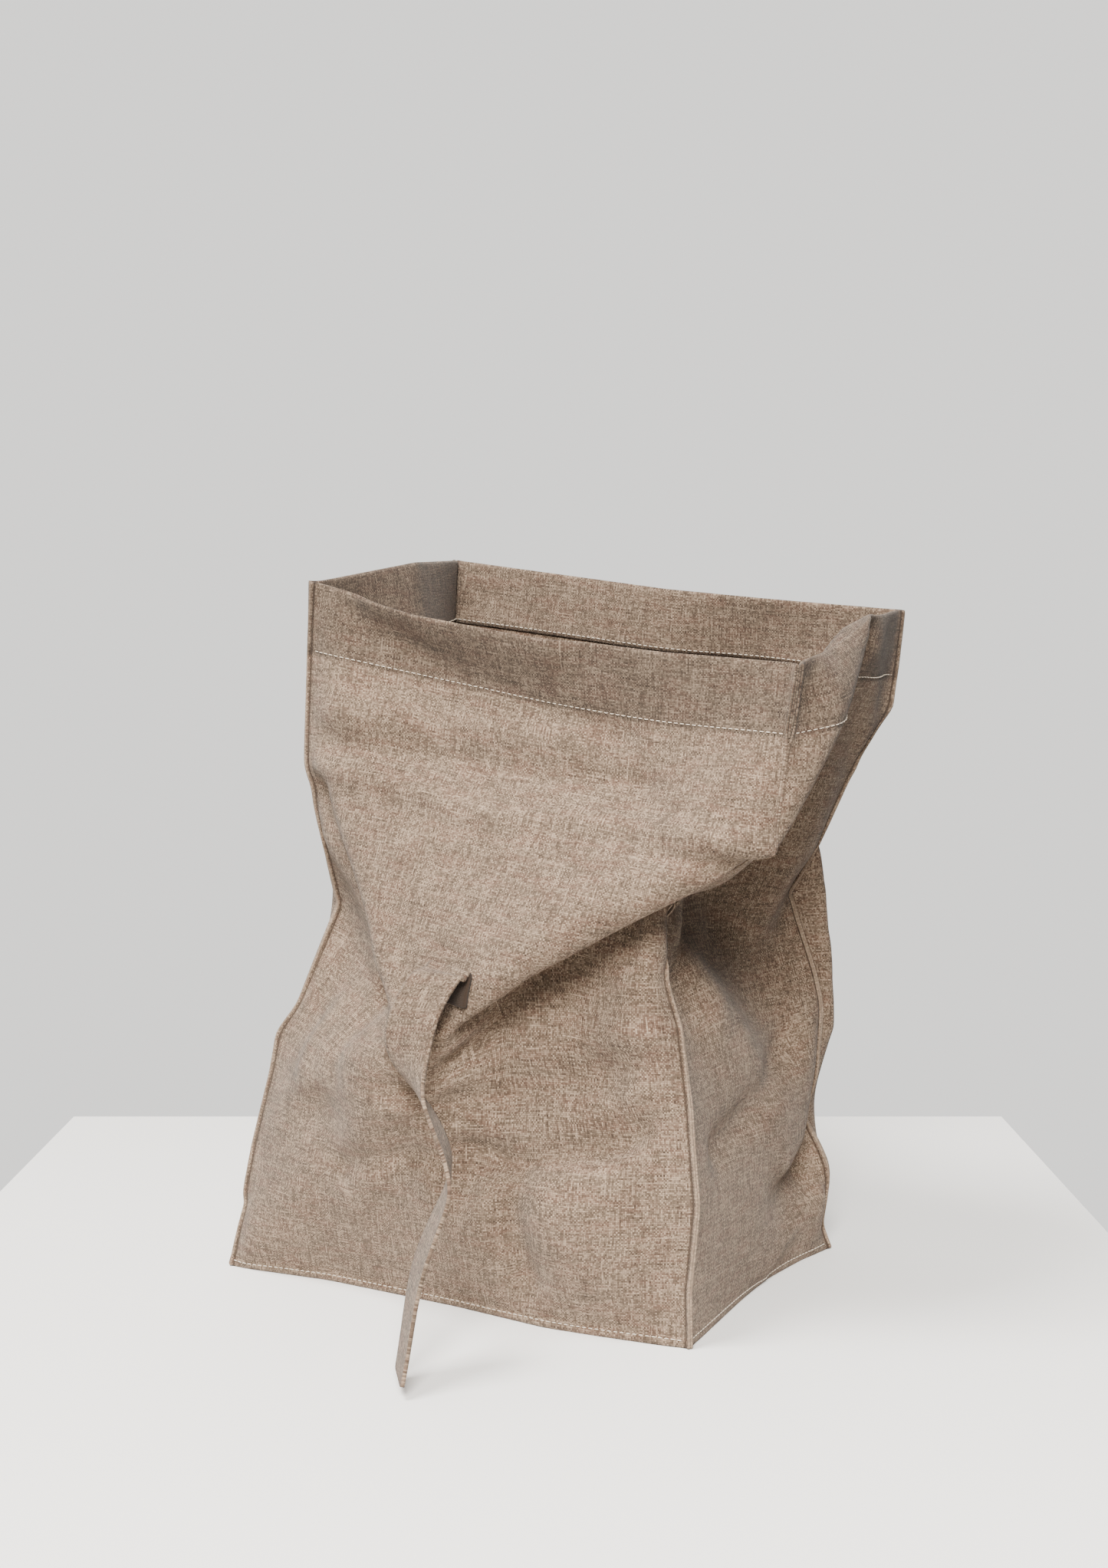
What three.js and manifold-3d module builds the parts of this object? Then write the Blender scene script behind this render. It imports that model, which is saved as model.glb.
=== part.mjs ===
// A linen lunch bag: front, back, two gussets and a base sewn into an open sack, with a flat strap on the front.
// The cloth has been folded down, opened again and set on its base, so the upper half leans and the waist is creased.
// Units are millimetres. X runs along the width, Y to the back, Z up, and the bag stands on Z = 0.

import * as THREE from "three";
import Module from "manifold-3d";

const wasm = await Module();
wasm.setup();

// ---------------------------------------------------------------- cut sizes

const WIDTH = 200; // front and back, seam to seam
const DEPTH = 134; // gussets, seam to seam
const HEIGHT = 280; // all four walls, base edge to rim
const CLOTH = 1.2; // thickness of one layer
const GAP = 0.3; // between two pieces that are sewn together
const RIDGE = 2; // the walls' edges, sewn together, stand out this far at each corner
const HEM = 26; // turned in at the rim, so the cloth is double there
const STRAP_WIDTH = 20;
const STRAP_THICKNESS = 1.6;
const STRAP_EASE = 0.6; // more room under the strap, where the front is rounded
const STRAP_SEWN = 11; // length of strap sewn flat on the front, below its turn
const STRAP_TURN_UP = 150; // height of the turn, along the front
const LEAN_ALLOWANCE = 0.3; // extra room round the base, where the walls lean in over it
const LINEN = 0xa5988a;

// ---------------------------------------------------------------- the cloth as a grid

// Going round the bag from the front's left edge. Each panel starts at the corner seam named beside it.
const PANELS = [
  { name: "front", width: WIDTH, columns: 20, seam: "frontLeft" },
  { name: "right", width: DEPTH, columns: 13, seam: "frontRight" },
  { name: "back", width: WIDTH, columns: 20, seam: "backRight" },
  { name: "left", width: DEPTH, columns: 13, seam: "backLeft" },
];
const BODY_ROWS = 25; // from the base edge to the hem
const HEM_ROWS = 2;
const ROWS = BODY_ROWS + HEM_ROWS;

// Where each corner seam stands. "up" is measured along the cloth from the base.
const CORNER_SEAMS = {
  frontLeft: [
    { up: 0, x: -98.5, y: -67, z: 0 },
    { up: 17, x: -94, y: -66.5, z: 16.5 },
    { up: 27, x: -91, y: -66, z: 26.4 },
    { up: 31, x: -92, y: -66, z: 30 },
    { up: 50, x: -88.5, y: -64.5, z: 49 },
    { up: 80, x: -80.5, y: -63, z: 79 },
    { up: 95, x: -79, y: -60.5, z: 94 },
    { up: 106, x: -71.5, y: -57.5, z: 105 },
    { up: 149, x: -62, y: -43, z: 144 },
    { up: 213, x: -63.5, y: -62, z: 200 },
    { up: 280, x: -59, y: -64, z: 269 },
  ],
  frontRight: [
    { up: 0, x: 100, y: -67, z: 0 },
    { up: 20, x: 99.5, y: -67, z: 20 },
    { up: 50, x: 102.5, y: -67, z: 51 },
    { up: 84, x: 98, y: -64, z: 84.5 },
    { up: 98, x: 94, y: -61, z: 98 },
    { up: 113, x: 90.5, y: -60, z: 113 },
    { up: 127, x: 84.5, y: -56.5, z: 127 },
    { up: 138, x: 80, y: -53, z: 137 },
    { up: 151, x: 78.5, y: -51, z: 150 },
    { up: 171, x: 90, y: -52, z: 162 },
    { up: 192, x: 108, y: -56, z: 168 },
    { up: 213, x: 128, y: -62, z: 175.5 },
    { up: 280, x: 136.5, y: -60, z: 239.5 },
  ],
  backRight: [
    { up: 0, x: 100, y: 66.5, z: 0 },
    { up: 11, x: 96, y: 66.5, z: 10 },
    { up: 20, x: 97.5, y: 66.5, z: 19 },
    { up: 31, x: 99, y: 66.5, z: 30 },
    { up: 38, x: 98, y: 66.5, z: 36 },
    { up: 46, x: 94, y: 67, z: 43.5 },
    { up: 54, x: 88.5, y: 67.5, z: 51 },
    { up: 64, x: 89.5, y: 67.5, z: 60 },
    { up: 75, x: 93, y: 67.5, z: 71 },
    { up: 104, x: 95.5, y: 67.5, z: 100 },
    { up: 117, x: 93, y: 68, z: 112 },
    { up: 135, x: 87, y: 68, z: 129 },
    { up: 152, x: 81, y: 68, z: 145 },
    { up: 178, x: 94, y: 63, z: 165 },
    { up: 205, x: 106, y: 62, z: 190 },
    { up: 221, x: 113, y: 62, z: 204 },
    { up: 244, x: 125, y: 62, z: 222 },
    { up: 280, x: 128, y: 64, z: 258.6 },
  ],
  backLeft: [
    { up: 0, x: -100, y: 67, z: 0 },
    { up: 140, x: -87, y: 66, z: 140 },
    { up: 280, x: -74, y: 65, z: 281 },
  ],
};

// Points of the rim between the corners, by distance across the panel.
const RIM = {
  front: [
    { across: 50, x: -12, y: -64, z: 257 },
    { across: 100, x: 37, y: -63, z: 248.5 },
    { across: 150, x: 86, y: -62, z: 243 },
  ],
  right: [
    { across: 34, x: 137, y: -31, z: 244.5 },
    { across: 67, x: 140.5, y: -1, z: 255 },
  ],
  back: [{ across: 100, x: 27, y: 65, z: 267.5 }],
  left: [{ across: 67, x: -55, y: 1, z: 278 }],
};

// Points of the base edge between the corners: the front edge waves, the right one is drawn in.
const BASE_EDGE = {
  front: [
    { across: 45, x: -55, y: -63 },
    { across: 105, x: 5, y: -66 },
    { across: 145, x: 45, y: -71 },
  ],
  right: [
    { across: 54, x: 95, y: -13 },
    { across: 82, x: 93, y: 15 },
    { across: 115, x: 96, y: 48 },
  ],
  back: [{ across: 100, x: 0, y: 67 }],
  left: [{ across: 67, x: -95, y: 0 }],
};

// Creases and soft folds, each a line drawn on the flat panel and held at its place in the air. "hold" is how firmly
// it is held, and "crease" how sharply it is pressed.
const FOLDS = [
  { name: "flap edge right", panel: "front", hold: 0.9, crease: 1, line: [
    { across: 200, up: 213, x: 128, y: -62, z: 175.5 },
    { across: 167, up: 182, x: 88, y: -76, z: 153.5 },
    { across: 133, up: 152, x: 49, y: -88, z: 131 },
    { across: 105, up: 129, x: 20, y: -95, z: 110 },
  ] },
  { name: "flap edge left", panel: "front", hold: 0.5, crease: 0, line: [
    { across: 0, up: 213, x: -63.5, y: -62, z: 200 },
    { across: 105, up: 129, x: 20, y: -95, z: 110 },
  ] },
  { name: "flap crease", panel: "front", hold: 0.4, crease: 0.5, line: [
    { across: 56, up: 216, x: -10, y: -66, z: 196.5 },
    { across: 97, up: 217, x: 30, y: -67, z: 190 },
    { across: 147, up: 217, x: 79, y: -66, z: 184 },
  ] },
  { name: "hollow under the flap", panel: "front", hold: 0.6, crease: 0, line: [
    { across: 184, up: 164, x: 79, y: -61, z: 164 },
    { across: 150, up: 132, x: 42, y: -62, z: 136 },
    { across: 124, up: 110, x: 25, y: -70, z: 110 },
    { across: 122, up: 95, x: 26, y: -74, z: 92 },
    { across: 125, up: 76, x: 31, y: -77, z: 72 },
  ] },
  { name: "belly trough", panel: "front", hold: 0.4, crease: 0, line: [
    { across: 125, up: 76, x: 31, y: -77, z: 72 },
    { across: 150, up: 77, x: 54, y: -73, z: 74 },
    { across: 175, up: 79, x: 77, y: -69, z: 76 },
  ] },
  { name: "nose", panel: "front", hold: 0.4, crease: 0, line: [
    { across: 105, up: 129, x: 20, y: -95, z: 110 },
    { across: 99, up: 104, x: 11, y: -95, z: 93 },
    { across: 96, up: 77, x: 5, y: -92, z: 75 },
    { across: 95, up: 50, x: 2, y: -87, z: 50 },
  ] },
  { name: "belly right", panel: "front", hold: 0.4, crease: 0, line: [
    { across: 125, up: 50, x: 28, y: -86, z: 49 },
    { across: 150, up: 50, x: 53, y: -83, z: 49 },
    { across: 172, up: 50, x: 75, y: -76, z: 50 },
  ] },
  { name: "belly left", panel: "front", hold: 0.3, crease: 0, line: [
    { across: 45, up: 77, x: -42, y: -82, z: 75 },
    { across: 45, up: 50, x: -46, y: -82, z: 50 },
  ] },
  { name: "gusset crease front", panel: "right", hold: 0.9, crease: 1, line: [
    { across: 67, up: 280, x: 140.5, y: -1, z: 255 },
    { across: 39, up: 252, x: 137.5, y: -28, z: 222.5 },
    { across: 20, up: 233, x: 134, y: -46, z: 199 },
    { across: 0, up: 213, x: 128, y: -62, z: 175.5 },
  ] },
  { name: "gusset crease rear", panel: "right", hold: 0.7, crease: 1, line: [
    { across: 67, up: 280, x: 140.5, y: -1, z: 255 },
    { across: 100, up: 246, x: 125, y: 30, z: 226 },
    { across: 134, up: 213, x: 110, y: 62.5, z: 196 },
  ] },
  { name: "gusset hollow right", panel: "right", hold: 0.8, crease: 0, line: [
    { across: 67, up: 213, x: 101, y: -1, z: 190 },
    { across: 67, up: 185, x: 84, y: 3, z: 171 },
    { across: 67, up: 158, x: 65, y: 8, z: 151 },
    { across: 67, up: 130, x: 70, y: 7, z: 125.5 },
    { across: 67, up: 100, x: 88, y: 5, z: 99.5 },
  ] },
  { name: "gusset tuck", panel: "right", hold: 0.7, crease: 0, line: [
    { across: 33, up: 213, x: 113, y: -31, z: 183 },
    { across: 33, up: 185, x: 88, y: -26, z: 168 },
    { across: 33, up: 158, x: 70, y: -18, z: 151 },
  ] },
  { name: "gusset upper ridge", panel: "right", hold: 0.5, crease: 0, line: [
    { across: 113, up: 57, x: 97, y: 48, z: 51 },
    { across: 95, up: 47, x: 98, y: 30, z: 42 },
  ] },
  { name: "gusset dent right", panel: "right", hold: 0.7, crease: 0, line: [
    { across: 119, up: 37, x: 88, y: 54, z: 34 },
    { across: 100, up: 36, x: 91, y: 35, z: 34 },
  ] },
  { name: "gusset lower ridge", panel: "right", hold: 0.7, crease: 1, line: [
    { across: 126, up: 25, x: 100.5, y: 60, z: 25 },
    { across: 107, up: 18, x: 99, y: 42, z: 18 },
    { across: 90, up: 11, x: 98, y: 25, z: 10 },
    { across: 78, up: 4, x: 95.5, y: 12, z: 3 },
  ] },
  { name: "back ridge", panel: "back", hold: 0.7, crease: 0, line: [
    { across: 8, up: 95, x: 99.5, y: 73, z: 90 },
    { across: 12, up: 126, x: 98, y: 73, z: 121 },
    { across: 15, up: 152, x: 95, y: 74, z: 146 },
    { across: 17, up: 190, x: 86, y: 74, z: 182 },
  ] },
  { name: "back valley", panel: "back", hold: 0.4, crease: 0, line: [
    { across: 42, up: 120, x: 66, y: 67, z: 119 },
    { across: 45, up: 150, x: 66, y: 65, z: 146 },
    { across: 45, up: 180, x: 64, y: 64, z: 175 },
  ] },
  { name: "gusset hollow left", panel: "left", hold: 0.6, crease: 1, line: [
    { across: 67, up: 280, x: -55, y: 1, z: 278 },
    { across: 67, up: 250, x: -50, y: 1, z: 248 },
    { across: 67, up: 213, x: -44, y: 2, z: 205 },
    { across: 67, up: 150, x: -42, y: 5, z: 141 },
  ] },
  { name: "gusset lower hollow left", panel: "left", hold: 0.4, crease: 0, line: [
    { across: 67, up: 150, x: -42, y: 5, z: 141 },
    { across: 67, up: 100, x: -66, y: 2, z: 99 },
    { across: 67, up: 50, x: -83, y: 0, z: 50 },
  ] },
];

// The strap below its turn: its middle line, and how far it is turned about the upright there.
const STRAP_ROWS = [
  { x: 19, y: -99.5, z: 130.5, turn: 2 },
  { x: 16.5, y: -101.5, z: 125, turn: 2 },
  { x: 13.5, y: -103.5, z: 117, turn: 1 },
  { x: 11.5, y: -106, z: 107.5, turn: -4 },
  { x: 12.5, y: -109, z: 99, turn: -24 },
  { x: 17.5, y: -113, z: 91, turn: -48 },
  { x: 26.5, y: -117.5, z: 83, turn: -61 },
  { x: 35.5, y: -123, z: 73, turn: -63 },
  { x: 39, y: -128, z: 63.5, turn: -57 },
  { x: 36.4, y: -133, z: 51.5, turn: -52 },
  { x: 34.4, y: -138, z: 41, turn: -50 },
  { x: 33.4, y: -142, z: 29.7, turn: -50 },
  { x: 33.4, y: -147, z: 14, turn: -51 },
  { x: 33.2, y: -150, z: 4.3, turn: -52 },
];

const ROUNDS = 320; // passes in which the cloth takes its shape
const SPREAD_ROUNDS = 1200; // passes that first spread the held points over the cloth
const STIFFNESS = 0.2; // how much a pass smooths bends
const SHEAR = 0.3; // woven cloth gives way on the bias
const SAMPLE = 5; // spacing of the held points along a fold
const CREASE_REACH = 4; // the cloth isn't smoothed this close to a pressed crease
const CREASE_FADE = 1.3; // and fully smoothed at this many times that distance
const CREASE_GIVE = 0.9; // share of the smoothing that a fully pressed crease takes away

// Where each column stands around the bag, and each row up it.
const aroundOf = [];
const panelStart = {};
const firstColumn = {};
const ROUND_LENGTH = 2 * (WIDTH + DEPTH);
let start = 0;
for (const panel of PANELS) {
  panelStart[panel.name] = start;
  firstColumn[panel.name] = aroundOf.length;
  for (let i = 0; i < panel.columns; i++) {
    aroundOf.push(start + (panel.width * i) / panel.columns);
  }
  start += panel.width;
}
const COLUMNS = aroundOf.length;
const seamColumns = new Set(Object.values(firstColumn));
const upOf = [];
for (let row = 0; row <= ROWS; row++) {
  const inHem = Math.max(0, row - BODY_ROWS);
  upOf.push(((HEIGHT - HEM) * Math.min(row, BODY_ROWS)) / BODY_ROWS + (HEM * inHem) / HEM_ROWS);
}
const nextColumn = (column) => (column + 1) % COLUMNS;
const columnStep = (column) => (aroundOf[column + 1] ?? ROUND_LENGTH) - aroundOf[column];
const rowStep = (row) => upOf[row + 1] - upOf[row];
const gridOf = (make) => upOf.map((up, row) => aroundOf.map((around, column) => make(row, column, around, up)));

// ---------------------------------------------------------------- points that the cloth is held at

const place = (point) => new THREE.Vector3(point.x, point.y, point.z ?? 0);

// The place between two rows of a table, found by the column named key.
function between(table, key, value) {
  let index = 0;
  while (index < table.length - 2 && value > table[index + 1][key]) index++;
  const [from, to] = [table[index], table[index + 1]];
  return place(from).lerp(place(to), (value - from[key]) / (to[key] - from[key]));
}

// The grid points round a spot on the cloth, each with its share of the spot.
function cornersOf(around, up) {
  const wrapped = around % ROUND_LENGTH;
  const column = aroundOf.findLastIndex((value) => value <= wrapped + 1e-6);
  const row = Math.min(ROWS - 1, upOf.findLastIndex((value) => value <= up + 1e-6));
  const across = (wrapped - aroundOf[column]) / columnStep(column);
  const above = (up - upOf[row]) / rowStep(row);
  return [
    { row, column, share: (1 - across) * (1 - above) },
    { row, column: nextColumn(column), share: across * (1 - above) },
    { row: row + 1, column, share: (1 - across) * above },
    { row: row + 1, column: nextColumn(column), share: across * above },
  ];
}

const held = [];
const heldShare = gridOf(() => 0); // how much of the held spots each grid point bears
function hold(around, up, target, strength) {
  const corners = cornersOf(around, up);
  for (const { row, column, share } of corners) heldShare[row][column] += share;
  held.push({ corners, target, box: boxPoint(around, up), strength });
}

function holdCornerSeams() {
  for (const panel of PANELS) {
    for (const up of upOf) {
      hold(panelStart[panel.name], up, between(CORNER_SEAMS[panel.seam], "up", up), 1);
    }
  }
}

// The rim and the base edge run from corner to corner through the rows of their own table.
function holdEdge(table, up, strength) {
  PANELS.forEach((panel, index) => {
    const next = PANELS[(index + 1) % PANELS.length];
    const line = [
      { across: 0, ...between(CORNER_SEAMS[panel.seam], "up", up) },
      ...table[panel.name],
      { across: panel.width, ...between(CORNER_SEAMS[next.seam], "up", up) },
    ];
    for (let i = 1; i < panel.columns; i++) {
      const across = (panel.width * i) / panel.columns;
      hold(panelStart[panel.name] + across, up, between(line, "across", across), strength);
    }
  });
}

function holdFolds() {
  for (const fold of FOLDS) {
    for (let i = 0; i + 1 < fold.line.length; i++) {
      const [from, to] = [fold.line[i], fold.line[i + 1]];
      const steps = Math.ceil(Math.hypot(to.across - from.across, to.up - from.up) / SAMPLE);
      for (let k = i ? 1 : 0; k <= steps; k++) {
        const across = THREE.MathUtils.lerp(from.across, to.across, k / steps);
        const up = THREE.MathUtils.lerp(from.up, to.up, k / steps);
        hold(panelStart[fold.panel] + across, up, place(from).lerp(place(to), k / steps), fold.hold);
      }
    }
  }
}

// ---------------------------------------------------------------- the cloth takes its shape

// A plain open box of the cut sizes.
function boxPoint(around, up) {
  if (around <= WIDTH) return new THREE.Vector3(around - WIDTH / 2, -DEPTH / 2, up);
  if (around <= WIDTH + DEPTH) return new THREE.Vector3(WIDTH / 2, around - WIDTH - DEPTH / 2, up);
  if (around <= 2 * WIDTH + DEPTH) return new THREE.Vector3(1.5 * WIDTH + DEPTH - around, DEPTH / 2, up);
  return new THREE.Vector3(-WIDTH / 2, 2 * WIDTH + 1.5 * DEPTH - around, up);
}

// Moves each grid point by the mean of what the held spots round it ask.
function drawToHolds(points, wanted, strengthOf) {
  const moved = gridOf(() => new THREE.Vector3());
  for (const spot of held) {
    const way = wanted(spot);
    for (const { row, column, share } of spot.corners) way.addScaledVector(points[row][column], -share);
    way.multiplyScalar(strengthOf(spot));
    for (const { row, column, share } of spot.corners) moved[row][column].addScaledVector(way, share);
  }
  points.forEach((row, i) => row.forEach((point, k) => {
    if (heldShare[i][k] > 1e-6) point.addScaledVector(moved[i][k], 1 / heldShare[i][k]);
  }));
}

// The box moved so that the held spots are in place and all between them follows evenly.
function startShape() {
  let shift = gridOf(() => new THREE.Vector3());
  for (let round = 0; round < SPREAD_ROUNDS; round++) {
    const before = shift;
    shift = gridOf((row, column) => {
      const below = before[row ? row - 1 : 1];
      const above = before[row < ROWS ? row + 1 : ROWS - 1];
      const sum = below[column].clone().add(above[column]);
      sum.add(before[row][nextColumn(column)]).add(before[row][(column + COLUMNS - 1) % COLUMNS]);
      return sum.multiplyScalar(0.25);
    });
    drawToHolds(shift, (spot) => spot.target.clone().sub(spot.box), () => 1);
  }
  return gridOf((row, column, around, up) => boxPoint(around, up).add(shift[row][column]));
}

// Brings two points to the length of cloth between them, or a share of the way there.
function keepLength(a, b, length, share) {
  const way = b.clone().sub(a);
  const distance = way.length();
  way.multiplyScalar((0.5 * share * (distance - length)) / distance);
  a.add(way);
  b.sub(way);
}

function keepThreads(points) {
  for (const parity of [0, 1]) {
    for (let column = parity; column < COLUMNS; column += 2) {
      for (const row of points) keepLength(row[column], row[nextColumn(column)], columnStep(column), 1);
    }
  }
  for (const parity of [0, 1]) {
    for (let row = parity; row < ROWS; row += 2) {
      points[row].forEach((point, column) => keepLength(point, points[row + 1][column], rowStep(row), 1));
    }
  }
}

function keepSquare(points) {
  for (let row = 0; row < ROWS; row++) {
    for (let column = 0; column < COLUMNS; column++) {
      const next = nextColumn(column);
      const diagonal = Math.hypot(columnStep(column), rowStep(row));
      keepLength(points[row][column], points[row + 1][next], diagonal, SHEAR);
      keepLength(points[row + 1][column], points[row][next], diagonal, SHEAR);
    }
  }
}

// How much each grid point is smoothed: hardly on a pressed crease, and fully away from it.
function softnessAt(around, up) {
  let soft = 1;
  for (const fold of FOLDS) {
    const spot = new THREE.Vector2(around - panelStart[fold.panel], up);
    for (let i = 0; i + 1 < fold.line.length; i++) {
      const [from, to] = [fold.line[i], fold.line[i + 1]].map((end) => new THREE.Vector2(end.across, end.up));
      const way = to.sub(from);
      const share = THREE.MathUtils.clamp(spot.clone().sub(from).dot(way) / way.lengthSq(), 0, 1);
      const away = from.addScaledVector(way, share).distanceTo(spot);
      const near = THREE.MathUtils.clamp(CREASE_FADE - away / CREASE_REACH, 0, 1);
      soft = Math.min(soft, 1 - fold.crease * CREASE_GIVE * near);
    }
  }
  return soft;
}

// How far each point stands off the middle of its two neighbours, across and up.
function bendAcross(values) {
  return gridOf((row, column) => {
    if (seamColumns.has(column)) return new THREE.Vector3();
    const before = values[row][column - 1];
    return before.clone().add(values[row][nextColumn(column)]).multiplyScalar(0.5).sub(values[row][column]);
  });
}

function bendUp(values) {
  return gridOf((row, column) => {
    if (row === 0 || row === ROWS) return new THREE.Vector3();
    const below = values[row - 1][column];
    return below.clone().add(values[row + 1][column]).multiplyScalar(0.5).sub(values[row][column]);
  });
}

function smoothBends(points, softness) {
  const soften = (bends) => bends.map((row, i) => row.map((bend, k) => bend.multiplyScalar(softness[i][k])));
  const across = bendAcross(soften(bendAcross(points)));
  const upward = bendUp(soften(bendUp(points)));
  points.forEach((row, i) => row.forEach((point, k) => {
    point.addScaledVector(across[i][k], -STIFFNESS).addScaledVector(upward[i][k], -STIFFNESS);
  }));
}

function shapeCloth() {
  holdCornerSeams();
  holdEdge(BASE_EDGE, 0, 1);
  holdEdge(RIM, HEIGHT, 0.7);
  holdFolds();
  const points = startShape();
  const softness = gridOf((row, column, around, up) => softnessAt(around, up));
  for (let round = 0; round < ROUNDS; round++) {
    keepThreads(points);
    keepSquare(points);
    smoothBends(points, softness);
    drawToHolds(points, (spot) => spot.target.clone(), (spot) => spot.strength);
  }
  return points;
}

const cloth = shapeCloth();

// ---------------------------------------------------------------- sheets as closed solids

// The direction out of a sheet at each of its points. Rows go up and columns across.
function outwardOf(sheet) {
  return sheet.map((row, i) => row.map((point, k) => {
    const across = row[Math.min(k + 1, row.length - 1)].clone().sub(row[Math.max(k - 1, 0)]);
    const upward = sheet[Math.min(i + 1, sheet.length - 1)][k].clone().sub(sheet[Math.max(i - 1, 0)][k]);
    return across.cross(upward).normalize();
  }));
}

// A closed solid between an outer and an inner grid of points. Each square of the grid is split along its longer
// diagonal, because a fold leaves the diagonal along it as long as it was and shortens the one across it.
function solidBetween(outer, inner) {
  const [rows, columns] = [outer.length, outer[0].length];
  const positions = [...outer.flat(), ...inner.flat()].flatMap((point) => point.toArray());
  const out = (row, column) => row * columns + column;
  const back = (row, column) => rows * columns + row * columns + column;
  const faces = [];
  const quad = (a, b, c, d) => faces.push(a, b, c, a, c, d);
  for (let row = 0; row + 1 < rows; row++) {
    for (let k = 0; k + 1 < columns; k++) {
      const rising = outer[row][k].distanceTo(outer[row + 1][k + 1]);
      const falling = outer[row + 1][k].distanceTo(outer[row][k + 1]);
      if (rising >= falling) {
        quad(out(row, k), out(row, k + 1), out(row + 1, k + 1), out(row + 1, k));
        quad(back(row + 1, k + 1), back(row, k + 1), back(row, k), back(row + 1, k));
      } else {
        quad(out(row, k + 1), out(row + 1, k + 1), out(row + 1, k), out(row, k));
        quad(back(row + 1, k), back(row + 1, k + 1), back(row, k + 1), back(row, k));
      }
    }
  }
  for (let k = 0; k + 1 < columns; k++) {
    quad(out(0, k + 1), out(0, k), back(0, k), back(0, k + 1));
    quad(out(rows - 1, k), out(rows - 1, k + 1), back(rows - 1, k + 1), back(rows - 1, k));
  }
  for (let row = 0; row + 1 < rows; row++) {
    quad(out(row, 0), out(row + 1, 0), back(row + 1, 0), back(row, 0));
    quad(out(row + 1, columns - 1), out(row, columns - 1), back(row, columns - 1), back(row + 1, columns - 1));
  }
  const geometry = new THREE.BufferGeometry();
  geometry.setAttribute("position", new THREE.Float32BufferAttribute(positions, 3));
  geometry.setIndex(faces);
  return geometry;
}

function panelPoints(panel) {
  const first = firstColumn[panel.name];
  return cloth.map((row) => {
    return Array.from({ length: panel.columns + 1 }, (_, k) => row[(first + k) % COLUMNS].clone());
  });
}

// Where two walls meet, their edges stand out side by side as a stitched ridge. For each row: the way out, and
// the way from the middle of the ridge to the wall that comes after it.
function ridgeBetween(before, after) {
  const [pointsBefore, pointsAfter] = [panelPoints(before), panelPoints(after)];
  const [outBefore, outAfter] = [outwardOf(pointsBefore), outwardOf(pointsAfter)];
  const last = before.columns;
  return pointsAfter.map((row, i) => {
    const wayAfter = row[1].clone().sub(row[0]).normalize();
    const wayBefore = pointsBefore[i][last - 1].clone().sub(row[0]).normalize();
    const out = outBefore[i][last].clone().add(outAfter[i][0]).sub(wayAfter).sub(wayBefore).normalize();
    const side = wayAfter.sub(wayBefore);
    side.addScaledVector(out, -side.dot(out)).normalize();
    return { out, side };
  });
}

// A wall with its two ridges. It is double from the hem up, and its lower edge stands on the rest plane.
function wallSolid(index) {
  const panel = PANELS[index];
  const previous = PANELS[(index + PANELS.length - 1) % PANELS.length];
  const next = PANELS[(index + 1) % PANELS.length];
  const startRidge = ridgeBetween(previous, panel);
  const endRidge = ridgeBetween(panel, next);
  const aside = (CLOTH + GAP) / 2;
  const sheet = panelPoints(panel).map((row, i) => {
    row[0].addScaledVector(startRidge[i].side, aside);
    row[panel.columns].addScaledVector(endRidge[i].side, -aside);
    const startTip = row[0].clone().addScaledVector(startRidge[i].out, RIDGE);
    const endTip = row[panel.columns].clone().addScaledVector(endRidge[i].out, RIDGE);
    return [startTip, ...row, endTip];
  });
  const outward = outwardOf(sheet);
  const lastDouble = panel.columns; // the hem's second layer leaves the ridges free
  const innerDepth = (row, column) => {
    const doubled = row > BODY_ROWS && column > 1 && column <= lastDouble;
    return doubled ? 1.5 * CLOTH : 0.5 * CLOTH;
  };
  const offset = (depthOf) => sheet.map((row, i) => row.map((point, k) => {
    const moved = point.clone().addScaledVector(outward[i][k], depthOf(i, k));
    if (i === 0) moved.z = 0;
    return moved;
  }));
  return solidBetween(offset(() => CLOTH / 2), offset((row, column) => -innerDepth(row, column)));
}

// The base lies flat inside the lower edges of the walls.
function basePanel() {
  const outline = cloth[0].map((point) => [point.x, point.y]).reverse();
  const inset = CLOTH / 2 + GAP + LEAN_ALLOWANCE;
  let section = new wasm.CrossSection([outline], "Positive");
  if (section.isEmpty()) section = new wasm.CrossSection([outline.reverse()], "Positive");
  const solid = section.offset(-inset, "Miter").extrude(CLOTH);
  const mesh = solid.getMesh();
  const geometry = new THREE.BufferGeometry();
  geometry.setAttribute("position", new THREE.BufferAttribute(mesh.vertProperties, mesh.numProp));
  geometry.setIndex(new THREE.BufferAttribute(mesh.triVerts, 1));
  return geometry;
}

// ---------------------------------------------------------------- the strap

// A spot of the front's outer face, lifted off it.
function onFront(across, up, lift) {
  const at = (a, u) => {
    const spot = new THREE.Vector3();
    for (const { row, column, share } of cornersOf(a, u)) spot.addScaledVector(cloth[row][column], share);
    return spot;
  };
  const spot = at(across, up);
  const outward = at(across + 1, up).sub(spot).cross(at(across, up + 1).sub(spot)).normalize();
  return spot.addScaledVector(outward, lift);
}

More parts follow.
